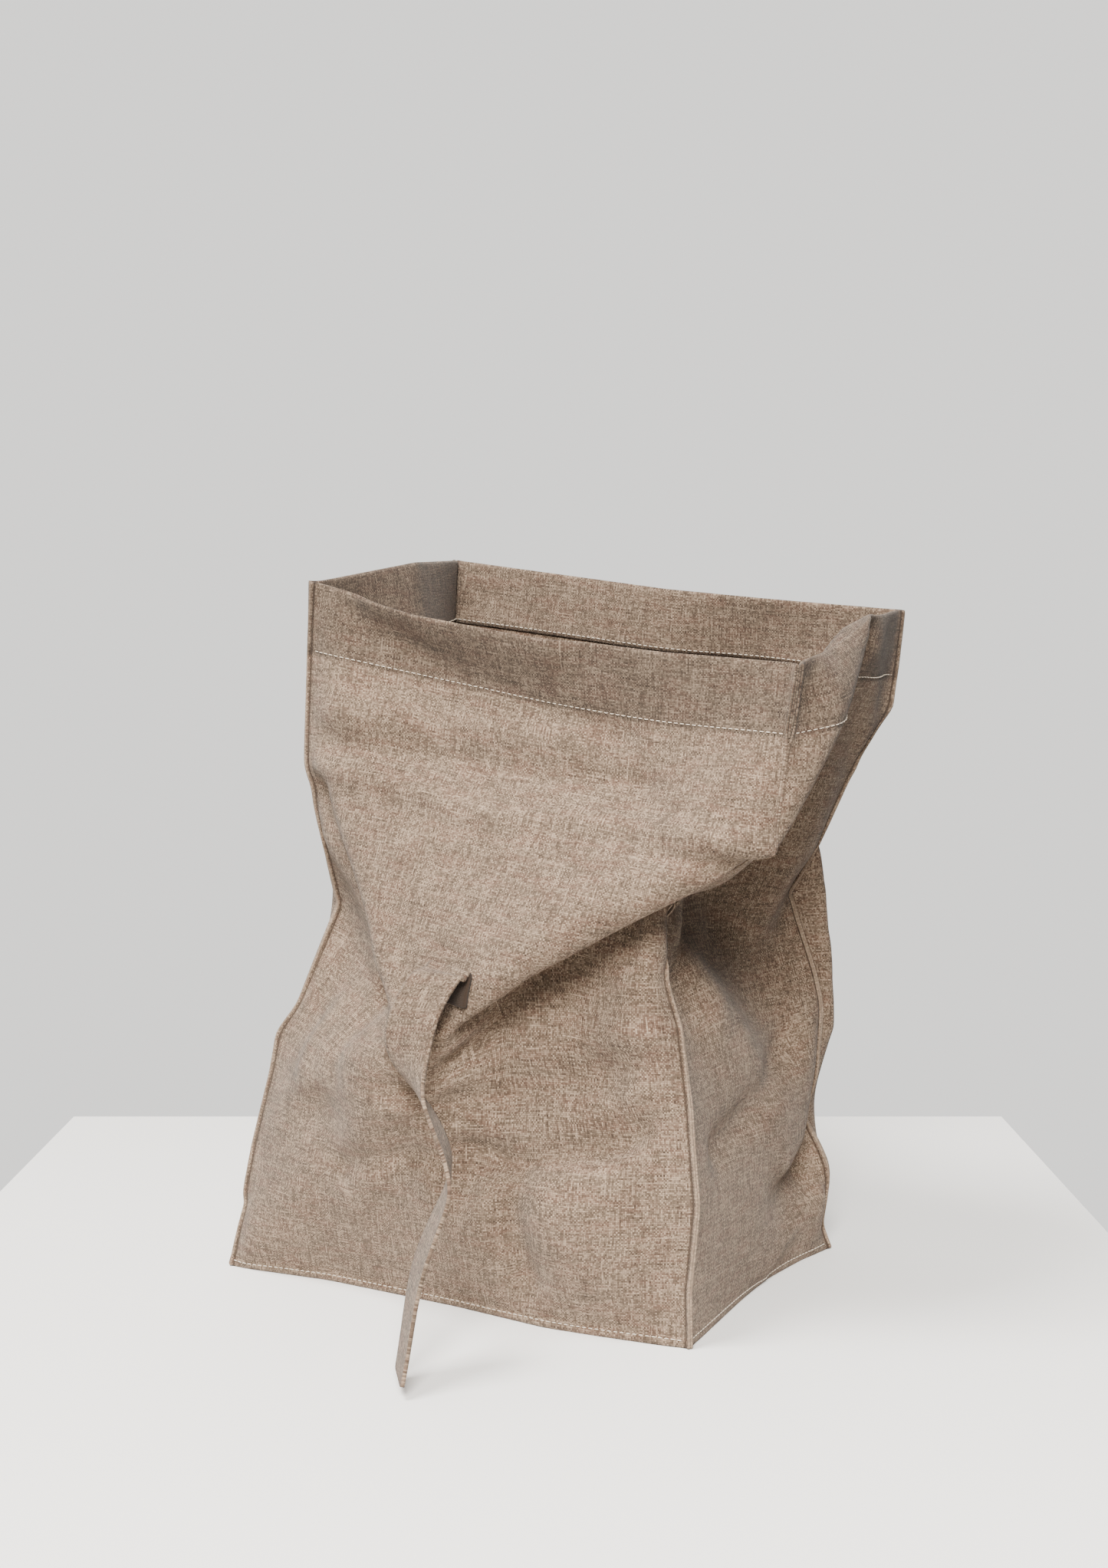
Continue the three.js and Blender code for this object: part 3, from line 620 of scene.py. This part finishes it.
# The sewn edges turn in along part of one corner, where the gusset is pinched under the flap.
# Reach is a share of RIDGE, below 0 where the edges turn in, and gap is how much wider open they are.
Pinch = namedtuple("Pinch", "up reach gap")
PINCHED_SEAM = "front_right"
PINCH = (
    Pinch(0, 1.0, 0),
    Pinch(132, 1.0, 0),
    Pinch(140, -1.6, 0.7),
    Pinch(158, -2.2, 0.9),
    Pinch(166, 0.6, 0),
    Pinch(205, 0.4, 0),
    Pinch(280, 0.4, 0),
)
FULL_RIDGE = 0.9  # with a smaller reach than this a ridge gets no painted shade or highlight of a sewn edge


def ridge_and_gap(seam, ups):
    """For each row: how far the sewn edges stand out of a corner, and how far from its line they start."""
    in_hem = np.clip((ups - (HEIGHT - HEM) + HEM_EASE / 2) / HEM_EASE, 0, 1)
    plain = (CLOTH + SEWN_GAP) / 2 + LAYER_STEP * in_hem
    if seam != PINCHED_SEAM:
        return np.full((len(ups), 1), RIDGE), plain[:, None]
    at = [row.up for row in PINCH]
    reach = RIDGE * np.interp(ups, at, [row.reach for row in PINCH])
    return reach[:, None], (plain + np.interp(ups, at, [row.gap for row in PINCH]))[:, None]


def with_ridges(sheet, start, end):
    """A wall with its two sewn edges: new columns at both sides, and the way inwards at each point.

    Start and end say of each edge which way is out of it and which into the wall, its reach, and how far
    it starts from the line of the seam.
    """
    outward = outward_of(sheet)
    shifted = sheet.copy()
    inward = -outward
    edges = []
    ways = []
    for column, (out, into_wall, reach, aside) in ((0, start), (-1, end)):
        shifted[:, column] += into_wall * aside
        edges.append([shifted[:, column] + out * reach * step for step in RIDGE_STEPS])
        turn = np.maximum((outward[:, column] * into_wall).sum(axis=-1, keepdims=True), 0)
        inward[:, column] = -(outward[:, column] + into_wall) / (1 + turn)
        ways.append(np.repeat(-into_wall[:, None], len(RIDGE_STEPS), axis=1))
    before = np.stack(edges[0][::-1], axis=1)
    after = np.stack(edges[1], axis=1)
    points = np.concatenate([before, shifted, after], axis=1)
    return points, np.concatenate([ways[0], inward, ways[1]], axis=1)


def at_height(values, ups, up):
    """A row of values between two rows of a wall."""
    row = int(np.searchsorted(ups, up))
    share = (up - ups[row - 1]) / (ups[row] - ups[row - 1])
    return values[row - 1] * (1 - share) + values[row] * share


def with_bead(points, inward, ups, reach):
    """The rows that shape the sewn edge at the foot of a wall, in place of its first row."""
    share = np.ones(points.shape[1])
    ends = len(RIDGE_STEPS) + 1
    share[:ends] = 0
    share[-ends:] = 0
    share = np.minimum(1, np.convolve(share, np.ones(BEAD_FADE) / BEAD_FADE, mode="same"))[:, None]
    out = unit(-inward[0] * LEVEL)
    rows = [at_height(points, ups, bead.up) + out * bead.out * reach * share for bead in BEAD]
    return np.stack(rows), np.array([bead.up for bead in BEAD])


def wall_sheet(grid, walls, index):
    """One wall with its ridges, its foot and the hem turned in at the rim.

    These are its points, their flat-cloth coordinates, and how far they stand out of a sewn edge.
    """
    panel = PANELS[index]
    middle = walls[panel.name]
    following = PANELS[(index + 1) % len(PANELS)]
    out, side = ridge_between(walls[PANELS[index - 1].name], middle)
    start = (out, side, *ridge_and_gap(panel.seam, grid.up))
    out, side = ridge_between(middle, walls[following.name])
    end = (out, -side, *ridge_and_gap(following.seam, grid.up))
    points, inward = with_ridges(middle, start, end)
    foot, foot_up = with_bead(points, inward, grid.up, BEAD_OUT[panel.name])
    top = points[-1] + unit(points[-1] - points[-2]) * TURN_UP + inward[-1] * LAYER_STEP / 2
    in_rows = np.flatnonzero(grid.up > HEIGHT - HEM - TINY)[::-1]
    turned = points[in_rows] + inward[in_rows] * LAYER_STEP
    rows = np.concatenate([foot, points[1:], top[None], turned])
    over = 2 * HEIGHT - grid.up[in_rows] + HEM_BEND
    ups = np.concatenate([foot_up, grid.up[1:], [HEIGHT + HEM_BEND / 2], over])
    reach = RIDGE * np.array(RIDGE_STEPS)
    across = np.linspace(0, panel.width, grid.count[panel.name] + 1)
    across = np.concatenate([-reach[::-1], across, panel.width + reach])
    across += grid.start[panel.name] + UV_APART * index
    uvs = np.stack(np.broadcast_arrays(across[None, :], ups[:, None]), axis=-1)
    apart = np.minimum(across - across[len(RIDGE_STEPS)], across[-1 - len(RIDGE_STEPS)] - across)
    stands = np.broadcast_to(-apart, uvs.shape[:2]).copy()
    at_start = across < across.mean()
    for side, reach in ((at_start, start[2]), (~at_start, end[2])):
        share = np.interp(np.minimum(ups, HEIGHT), grid.up, reach[:, 0] / RIDGE)[:, None]
        beyond = (apart < 0) & side
        stands[:, beyond] *= np.where(share < 0, -TURNED_IN * share, 1)
        stands[:, side] = np.where((share >= 0) & (share < FULL_RIDGE), NOT_SEWN, stands[:, side])
    return rows, uvs, stands


# ---- stitches

STITCH_LENGTH = 1.9
STITCH_WIDE = 0.42
STITCH_FLATTENED = 0.8  # its height as a share of its width
STITCH_OFF_CLOTH = 0.2  # how far it lies off the cloth, in its widths
STITCH_PITCH = 2.4
STITCH_SIDES = 6
# Along is a share of a stitch's length, girth a share of its width, and lift is in millimetres.
StitchRing = namedtuple("StitchRing", "along girth lift")
STITCH_RINGS = (
    StitchRing(-0.5, 0.25, -0.3),
    StitchRing(-0.3, 0.9, 0.1),
    StitchRing(0.0, 1.0, 0.22),
    StitchRing(0.3, 0.9, 0.1),
    StitchRing(0.5, 0.25, -0.3),
)


def stitch_mesh(name, lines, material):
    """Short rounded threads along lines on the cloth. A line is its points and the way out at each."""
    turn = np.arange(STITCH_SIDES) * 2 * math.pi / STITCH_SIDES
    vertices = []
    faces = []
    for points, outward in lines:
        along = np.concatenate([[0], np.cumsum(np.linalg.norm(np.diff(points, axis=0), axis=1))])
        for i in range(int(along[-1] / STITCH_PITCH)):
            middle = (i + 0.5) * STITCH_PITCH
            place, ahead, out = (
                np.array([np.interp(at, along, values[:, axis]) for axis in range(3)])
                for at, values in ((middle, points), (middle + 0.5, points), (middle, outward))
            )
            way = unit(ahead - place)
            out = unit(out - way * out.dot(way))
            side = np.cross(way, out)
            base = len(vertices)
            for ring in STITCH_RINGS:
                off_cloth = ring.lift + STITCH_WIDE * STITCH_OFF_CLOTH
                centre = place + way * ring.along * STITCH_LENGTH + out * off_cloth
                for angle in turn:
                    spread = side * math.cos(angle) + out * math.sin(angle) * STITCH_FLATTENED
                    vertices.append((centre + spread * ring.girth * STITCH_WIDE / 2) * MM)
            for ring_start in range(base, len(vertices) - STITCH_SIDES, STITCH_SIDES):
                for k in range(STITCH_SIDES):
                    a = ring_start + k
                    b = ring_start + (k + 1) % STITCH_SIDES
                    faces.append((a, b, b + STITCH_SIDES, a + STITCH_SIDES))
            last = len(vertices) - STITCH_SIDES
            faces.append(tuple(base + k for k in reversed(range(STITCH_SIDES))))
            faces.append(tuple(last + k for k in range(STITCH_SIDES)))
    return mesh_object(name, [tuple(vertex) for vertex in vertices], faces, material)


# ---- finishes


def by_node(operation):
    return lambda value, other: value.nodes.maths(operation, value, other)


class Value:
    """A number that nodes work out. Its sums and products are further nodes."""

    def __init__(self, nodes, socket):
        self.nodes = nodes
        self.socket = socket

    __add__ = by_node("ADD")
    __sub__ = by_node("SUBTRACT")
    __mul__ = by_node("MULTIPLY")
    __truediv__ = by_node("DIVIDE")


class Nodes:
    """The node tree of a material or a world."""

    def __init__(self, owner):
        owner.use_nodes = True
        self.owner = owner
        self.tree = owner.node_tree

    def fill(self, node, inputs):
        """Gives inputs of a node, by name or number, their values or what they are joined to."""
        for key, value in inputs.items():
            value = getattr(value, "socket", value)
            if hasattr(value, "is_output"):
                self.tree.links.new(value, node.inputs[key])
            else:
                node.inputs[key].default_value = value

    def node(self, kind, inputs=None, **settings):
        made = self.tree.nodes.new(kind)
        for key, value in settings.items():
            setattr(made, key, value)
        self.fill(made, inputs or {})
        return made

    def maths(self, operation, *values, clamp=False):
        made = self.node("ShaderNodeMath", dict(enumerate(values)), operation=operation, use_clamp=clamp)
        return Value(self, made.outputs[0])

    def uv_map(self, name):
        """The two coordinates of a UV map together, and each by itself."""
        both = self.node("ShaderNodeUVMap", uv_map=name).outputs["UV"]
        split = self.node("ShaderNodeSeparateXYZ", {0: both})
        return both, Value(self, split.outputs["X"]), Value(self, split.outputs["Y"])

    def combined(self, *values):
        return self.node("ShaderNodeCombineXYZ", dict(enumerate(values))).outputs[0]

    def noise(self, vector, scale, detail=2.0, roughness=0.5):
        inputs = {"Vector": vector, "Scale": scale, "Detail": detail, "Roughness": roughness}
        return Value(self, self.node("ShaderNodeTexNoise", inputs).outputs["Fac"])

    def stretched(self, vector, x, y, seed):
        """The vector scaled, and moved by a seed so that its noise is like no other."""
        inputs = {"Vector": vector, "Scale": (x, y, 1), "Location": (seed, seed * 1.7, seed)}
        return self.node("ShaderNodeMapping", inputs).outputs["Vector"]

    def mix(self, share, a, b, blend="MIX"):
        made = self.node("ShaderNodeMix", {0: share, 6: a, 7: b}, data_type="RGBA", blend_type=blend)
        return made.outputs[2]

    def band(self, value, low, high, to_low=0.0, to_high=1.0):
        """A smooth step of the value between low and high."""
        inputs = {"Value": value, "From Min": low, "From Max": high, "To Min": to_low, "To Max": to_high}
        made = self.node("ShaderNodeMapRange", inputs, interpolation_type="SMOOTHSTEP")
        return Value(self, made.outputs["Result"])

    def shade(self, inputs):
        """The material, with these inputs of its shader."""
        self.fill(self.tree.nodes["Principled BSDF"], inputs)
        return self.owner


# The weave. Lengths are in millimetres of cloth, and seeds set one noise apart from another.
THREAD_PITCH = 0.6  # from one thread to the next
THREAD_JUMP = 3.7  # in its noise, from one thread to the next
THREAD_DRIFT = 0.045  # in its noise, along a thread from one crossing to the next
WEFT_LIGHTER = 0.06
CLOUD_SCALE = 0.035
WANDER_SCALE = 0.06
WANDER_ACROSS = 2.4  # how far the threads wander off their straight lines
WANDER_UP = -2.0
ROUND_ACROSS = -3.2  # how a thread falls off from its middle where it lies on top
ROUND_ALONG = -2.0
MEAN_RELIEF = 0.62

# Slubs and streaks are noise drawn out along the threads. A slub is where it is above low.
Slubs = namedtuple("Slubs", "drawn_out seed low")
FINE = 1.5
LIGHT_SLUBS = Slubs(0.06, 80, 0.64)
DARK_SLUBS = Slubs(0.14, 160, 0.66)
SLUB_EDGE = 0.09
DARK_SLUB_SHARE = 0.9
STREAKS_DRAWN_OUT = 0.07
STREAKS_SEED = 400
OTHER_WAY = 40  # added to the seed for the threads the other way

# What each of these adds to the tone: 1 is pale, 0 middling and -1 deep.
THREAD_TONE = 2.8
SPECK_TONE = 0.95  # each crossing by itself
# RELIEF_TONE and CHECK_TONE are painted light and shade of the weave: thread tops lighter and the dips
# between them darker, and the crossings where the warp lies on top lighter than the weft's.
RELIEF_TONE = 0.7
CHECK_TONE = 0.3
STREAK_TONE = 0.8
SLUB_TONE = 0.8
CLOUD_TONE = 0.5

# These are the threads' own colours. PALE is also the painted highlight on the tips of sewn edges, and DEEP
# the painted shade at their roots, where they turn in, and on the strap under its turn.
PALE = (0.30, 0.22, 0.155)
MIDDLING = (0.105, 0.073, 0.049)
RUSTY = (0.118, 0.070, 0.047)
DEEP = (0.030, 0.018, 0.011)
RUSTY_BAND = (0.42, 0.66)

# Bands of how far the cloth stands out of a sewn edge, where painted shade (root, turned in) and a painted
# highlight (tip) are laid on, and how strong these are.
ROOT_BEGINS = (-1.3, -0.2)
ROOT_ENDS = (1.2, 0.1)
ROOT_PAINTED_SHADE = 0.85
TIP_BAND = (1.0, 1.9)
TIP_PAINTED_HIGHLIGHT = 0.4
TURNED_IN_BAND = (2.2, 3.5)

HEM_LINE_SOFT = 0.5
# The doubled cloth of the hem is painted darker by this share: painted shade for the light a single layer
# lets through.
HEM_PAINTED_SHADE = 0.62
BACK_HEM_PAINTED_SHADE = 0.82  # the hem's painted shade is lighter on the inside of the back's rim
RELIEF_HEIGHT = 0.6
SLUB_HEIGHT = 0.5
THREAD_HEIGHT = 0.8


def linen_material(name, tint, hem_shade=HEM_PAINTED_SHADE):
    """Plain-woven natural linen: fine threads both ways, uneven in thickness and in tone, with painted light
    and shade on its weave, its sewn edges and its hem.
    """
    nodes = Nodes(bpy.data.materials.new(name))

    def dyed(colour):
        return (*(tint * c for c in colour), 1)

    cloth, across, up = nodes.uv_map("cloth")
    wander = nodes.noise(cloth, WANDER_SCALE)
    u = (wander * WANDER_ACROSS + across) / THREAD_PITCH
    v = (wander * WANDER_UP + up) / THREAD_PITCH
    warp_number = nodes.maths("FLOOR", u)
    weft_number = nodes.maths("FLOOR", v)
    in_warp = nodes.maths("FRACT", u) - 0.5
    in_weft = nodes.maths("FRACT", v) - 0.5
    over = nodes.maths("PINGPONG", warp_number + weft_number, 1.0)

    def on_top(warp, weft):
        """What belongs to the thread that lies on top at a crossing."""
        return warp + over * (weft - warp)

    def hump(beside, along):
        return (beside * beside * ROUND_ACROSS + 1) * (along * along * ROUND_ALONG + 1)

    def thread_tone(number, along, seed):
        """Each thread keeps its own tone for a while along its length."""
        place = nodes.combined(number * THREAD_JUMP, along * THREAD_DRIFT, seed)
        return nodes.noise(place, 1.0, roughness=0.7)

    def both_ways(drawn_out, seed):
        along_warp = nodes.stretched(cloth, FINE, drawn_out, seed)
        along_weft = nodes.stretched(cloth, drawn_out, FINE, seed + OTHER_WAY)
        return [nodes.noise(place, 1.0, roughness=0.6) for place in (along_warp, along_weft)]

    def slubs(kind):
        ways = both_ways(kind.drawn_out, kind.seed)
        return nodes.maths("MAXIMUM", *(nodes.band(way, kind.low, kind.low + SLUB_EDGE) for way in ways))

    relief = on_top(hump(in_warp, in_weft), hump(in_weft, in_warp))
    warp_tone = thread_tone(warp_number, v, seed=3.0)
    thread = on_top(warp_tone, thread_tone(weft_number, u, seed=47.0) + WEFT_LIGHTER)
    crossing = nodes.combined(warp_number, weft_number)
    white_noise = nodes.node("ShaderNodeTexWhiteNoise", {"Vector": crossing}, noise_dimensions="2D")
    speck = Value(nodes, white_noise.outputs["Value"])
    checks = nodes.maths("SINE", u * math.pi) * nodes.maths("SINE", v * math.pi)
    warp_streaks, weft_streaks = both_ways(STREAKS_DRAWN_OUT, STREAKS_SEED)
    light_slubs = slubs(LIGHT_SLUBS)
    cloudy = nodes.noise(cloth, CLOUD_SCALE, detail=3.0, roughness=0.6)

    tone = (thread - 0.5) * THREAD_TONE + (speck - 0.5) * SPECK_TONE
    # The next two are painted light and shade of the weave: thread tops and warp-over crossings lighter, the
    # dips darker.
    tone += (relief - MEAN_RELIEF) * RELIEF_TONE
    tone += checks * CHECK_TONE
    tone += (warp_streaks + weft_streaks - 1) * STREAK_TONE
    tone += (light_slubs - slubs(DARK_SLUBS) * DARK_SLUB_SHARE) * SLUB_TONE
    tone += (cloudy - 0.5) * CLOUD_TONE

    rusty_place = nodes.stretched(cloth, 0.5, 1.6, seed=300)
    rusty = nodes.noise(rusty_place, scale=0.12, detail=4.0, roughness=0.7)
    colour = nodes.mix(nodes.band(rusty, *RUSTY_BAND), dyed(MIDDLING), dyed(RUSTY))
    colour = nodes.mix(nodes.maths("MULTIPLY", tone, 1.0, clamp=True), colour, dyed(PALE))
    colour = nodes.mix(nodes.maths("MULTIPLY", tone, -1.0, clamp=True), colour, dyed(DEEP))

    # A sewn edge gets painted shade at its root, a painted highlight at its tip, and its darkest painted
    # shade where it is turned in. The strap's sewn end under its turn gets this painted shade too.
    stands = nodes.uv_map("edge")[1]
    # painted shade at the root and where turned in, painted highlight at the tip
    root = nodes.band(stands, *ROOT_BEGINS) * nodes.band(stands, *ROOT_ENDS)
    dark = nodes.maths("MAXIMUM", root * ROOT_PAINTED_SHADE, nodes.band(stands, *TURNED_IN_BAND))
    colour = nodes.mix(nodes.band(stands, *TIP_BAND) * TIP_PAINTED_HIGHLIGHT, colour, dyed(PALE))
    colour = nodes.mix(dark, colour, dyed(DEEP))

    # Where the hem doubles the cloth it is painted darker: painted shade for the light from inside that a
    # single layer lets through and a double one holds back.
    in_hem = nodes.band(up, HEIGHT - HEM - HEM_LINE_SOFT, HEIGHT - HEM + HEM_LINE_SOFT)
    hem_shaded = nodes.mix(1.0, colour, (hem_shade, hem_shade, hem_shade, 1), "MULTIPLY")
    height = relief * RELIEF_HEIGHT + light_slubs * SLUB_HEIGHT + thread * THREAD_HEIGHT
    bump = nodes.node("ShaderNodeBump", {"Strength": 0.5, "Distance": 0.0003, "Height": height})
    return nodes.shade({
        "Base Color": nodes.mix(in_hem, colour, hem_shaded),
        "Roughness": 0.95,
        "Specular IOR Level": 0.2,
        "Sheen Weight": 0.06,
        "Sheen Roughness": 0.6,
        "Normal": bump.outputs["Normal"],
    })


def plain_material(name, colour, roughness):
    return Nodes(bpy.data.materials.new(name)).shade({"Base Color": (*colour, 1), "Roughness": roughness})


# ---- the strap

StrapRow = namedtuple("StrapRow", "x y z turn")
STRAP_ROWS = (
    StrapRow(18.5, -102, 130.5, 2),
    StrapRow(15.8, -105, 125, 2),
    StrapRow(12.6, -107.5, 117, 1),
    StrapRow(11.0, -109, 107.5, -4),
    StrapRow(12.4, -110.5, 99, -24),
    StrapRow(17.5, -113, 91, -48),
    StrapRow(26.5, -117.5, 83, -61),
    StrapRow(35.5, -123, 73, -63),
    StrapRow(39, -128, 63.5, -57),
    StrapRow(36.4, -133, 51.5, -52),
    StrapRow(34.4, -138, 41, -50),
    StrapRow(33.4, -142, 29.7, -50),
    StrapRow(33.4, -147, 14, -51),
    StrapRow(33.2, -150, 4.3, -52),
)
STRAP_COLUMNS = 9
STRAP_FINER = 4  # rows of the finished strap from one worked-out row to the next
STRAP_CLEARANCE = 0.2
STRAP_BULGE = 3.4  # how far the turn stands off the sewn end
STRAP_TURN_DOWN = 1.0  # how far below STRAP_TURN_UP the turn ends
STRAP_SEWN_ROWS = 12  # rows of the finished strap under the turn, which get painted shade
STRAP_PAINTED_SHADE = 3.4  # their painted shade is that of an edge turned in this far
STRAP_ACROSS = 1500  # the middle of its own stretch of flat cloth


def on_front(grid, cloth, across, up, lift):
    """A point over the front wall, lifted off it."""

    def near(right, above):
        rows, columns, shares = grid.corners(across + right, up + above)
        return sum(cloth[row, column] * share for row, column, share in zip(rows, columns, shares))

    spot = near(0, 0)
    outward = unit(np.cross(near(1, 0) - spot, near(0, 1) - spot))
    return spot + outward * lift


def smooth_through(rows, steps):
    """A Catmull-Rom line through rows of points, with this many steps between two of them."""
    padded = np.concatenate([[2 * rows[0] - rows[1]], rows, [2 * rows[-1] - rows[-2]]])
    line = []
    for a, b, c, d in zip(padded, padded[1:], padded[2:], padded[3:]):
        for t in np.arange(steps) / steps:
            second = (2 * a - 5 * b + 4 * c - d) * t * t
            third = (3 * b - a - 3 * c + d) * t ** 3
            line.append(0.5 * (2 * b + (c - a) * t + second + third))
    line.append(padded[-2])
    return np.array(line)


def strap_sheet(grid, cloth):
    """The strap from its sewn end to its loose end: points, flat-cloth coordinates and length."""
    sides = np.linspace(-STRAP_WIDTH / 2, STRAP_WIDTH / 2, STRAP_COLUMNS)
    flat = CLOTH / 2 + STRAP_CLEARANCE + STRAP_THICKNESS / 2
    places = [(STRAP_TURN_UP - STRAP_SEWN * (1 - share), flat) for share in (0, 0.5, 1)]
    places.append((STRAP_TURN_UP + STRAP_THICKNESS, flat + STRAP_BULGE / 2))
    places.append((STRAP_TURN_UP - STRAP_TURN_DOWN, flat + STRAP_BULGE))
    rows = [[on_front(grid, cloth, WIDTH / 2 + side, up, lift) for side in sides] for up, lift in places]
    for row in STRAP_ROWS:
        angle = math.radians(row.turn)
        way = np.array([math.cos(angle), math.sin(angle), 0])
        rows.append([np.array([row.x, row.y, row.z]) + way * side for side in sides])
    rows = smooth_through(np.array(rows), STRAP_FINER)[:, ::-1]
    lengths = np.linalg.norm(np.diff(rows[:, STRAP_COLUMNS // 2], axis=0), axis=1)
    down = np.concatenate([[0], np.cumsum(lengths)])
    uvs = np.stack(np.broadcast_arrays(sides[None, :] + STRAP_ACROSS, down[:, None]), axis=-1)
    return rows, uvs, down[-1]


# ---- the bag

grid, cloth = shape_cloth()
cloth = with_soft_folds(grid, cloth)
walls = {panel.name: panel_points(grid, cloth, panel) for panel in PANELS}
linen = linen_material("linen", tint=0.91)
back_linen = linen_material("back_linen", tint=0.91, hem_shade=BACK_HEM_PAINTED_SHADE)
strap_linen = linen_material("strap_linen", tint=0.80)
thread = plain_material("thread", colour=(0.42, 0.36, 0.29), roughness=0.8)

NODE_OF = {"front": "front_panel", "right": "right_gusset", "back": "back_panel", "left": "left_gusset"}
for index, panel in enumerate(PANELS):
    points, uvs, stands = wall_sheet(grid, walls, index)
    material = back_linen if panel.name == "back" else linen
    piece = cloth_object(panel.name + "_cloth", points, uvs, material, stands=stands)
    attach(piece, "root")
    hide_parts(NODE_OF[panel.name])

BASE_LIFT = 0.6
BASE_RINGS = (0.25, 0.5, 0.75, 0.9, 0.98, 1.0)  # shares of the way out; inside the first the base is open
foot = np.concatenate([walls[panel.name][0, :-1] for panel in PANELS])
foot[:, 2] = BASE_LIFT
middle_of_base = foot.mean(axis=0)
rings = np.stack([middle_of_base + (foot - middle_of_base) * share for share in BASE_RINGS])
rings = np.concatenate([rings, rings[:, :1]], axis=1)[:, ::-1]
base = cloth_object("base_cloth", rings, rings[..., :2], linen, finer=0)
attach(base, "root")
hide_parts("base_panel")

strap_points, strap_uvs, strap_length = strap_sheet(grid, cloth)
# painted shade on the strap's sewn end, where it lies under its turn
under_the_turn = np.where(np.arange(len(strap_points)) < STRAP_SEWN_ROWS, STRAP_PAINTED_SHADE, NOT_SEWN)
strap_stands = np.broadcast_to(under_the_turn[:, None], strap_points.shape[:2])
strap = cloth_object(
    "strap_cloth", strap_points, strap_uvs, strap_linen, thickness=STRAP_THICKNESS, stands=strap_stands)
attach(strap, "root")
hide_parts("strap")

HEM_STITCH_UP = HEIGHT - HEM + 1.5
BASE_STITCH_UP = 2.75
BASE_STITCH_OUT = 0.55  # a share of the bead's reach
BASE_STITCH_TILT = (0, 0, 0.6)
lines = []
for panel in PANELS:
    sheet = walls[panel.name]
    outward = outward_of(sheet)
    level = at_height(sheet, grid.up, HEM_STITCH_UP)
    out = unit(at_height(outward, grid.up, HEM_STITCH_UP))
    lines.append((level + out * CLOTH / 2, out))
    lines.append((level - out * (LAYER_STEP + CLOTH / 2), -out))
    level = at_height(sheet, grid.up, BASE_STITCH_UP)
    out = unit(outward[0] * LEVEL)
    off_wall = CLOTH / 2 + BASE_STITCH_OUT * BEAD_OUT[panel.name]
    lines.append((level + out * off_wall, unit(out + BASE_STITCH_TILT)))
stitches = stitch_mesh("stitches", lines, thread)
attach(stitches, "root")

# ---- floor, light and camera

VIEW_TURN = math.radians(28.632)  # the floor and the camera are turned this far round the bag
FLOOR_SIDE = 0.24  # half its width
FLOOR_FRONT = -0.45
FLOOR_BACK = 0.24
corners = ((-1, FLOOR_FRONT), (1, FLOOR_FRONT), (1, FLOOR_BACK), (-1, FLOOR_BACK))
corners = [(x * FLOOR_SIDE, y, 0) for x, y in corners]
table_top = plain_material("floor", colour=(0.79, 0.78, 0.76), roughness=0.6)
floor = mesh_object("floor", corners, [(0, 1, 2, 3)], table_top)
floor.rotation_euler.z = VIEW_TURN

# A studio of soft light: bright from the left and above, dim from the right and below.
LIGHT_FROM = (-0.80, 0.25, 0.45)
LIGHT_EDGE = 0.3  # how soft the border between bright and dim is
DIM = 0.05
BRIGHT = 1.36
ON_THINGS = 0.84  # the share of it that lights things, while the camera sees it whole
world = bpy.data.worlds.new("world")
nodes = Nodes(world)
around = nodes.node("ShaderNodeTexCoord").outputs["Generated"]
facing = nodes.node("ShaderNodeVectorMath", {0: around, 1: LIGHT_FROM}, operation="DOT_PRODUCT")
light = nodes.band(facing.outputs["Value"], -LIGHT_EDGE, LIGHT_EDGE, DIM, BRIGHT)
path = nodes.node("ShaderNodeLightPath")
seen = nodes.node("ShaderNodeMapRange", {"Value": path.outputs["Is Camera Ray"], "To Min": ON_THINGS})
strength = light * seen.outputs["Result"]
nodes.fill(nodes.tree.nodes["Background"], {"Strength": strength, "Color": (1.0, 0.985, 0.955, 1)})
bpy.context.scene.world = world

LAMP_AIM = Vector((0, 0, 0.12))
LAMP_COLOUR = (1, 0.97, 0.93)


def soft_light(name, place, size, power):
    data = bpy.data.lights.new(name, "AREA")
    data.shape = "SQUARE"
    data.size = size
    data.energy = power
    data.color = LAMP_COLOUR
    lamp = add_object(name, data)
    lamp.location = place
    lamp.rotation_euler = (LAMP_AIM - Vector(place)).to_track_quat("-Z", "Y").to_euler()


soft_light("key", place=(-0.35, -0.7, 1.75), size=0.6, power=57.0)
soft_light("fill", place=(0.70, -1.38, 1.18), size=0.7, power=110.0)

CAMERA_DOWN = 4.281  # degrees below the horizon
camera_data = bpy.data.cameras.new("camera")
camera_data.sensor_width = 36.0
camera_data.sensor_height = 36.0
camera_data.sensor_fit = "VERTICAL"
camera_data.lens = 47.64
camera = add_object("camera", camera_data)
camera.location = (0.3995, -0.7141, 0.2518)
camera.rotation_euler = (math.radians(90 - CAMERA_DOWN), 0, VIEW_TURN)
bpy.context.scene.camera = camera
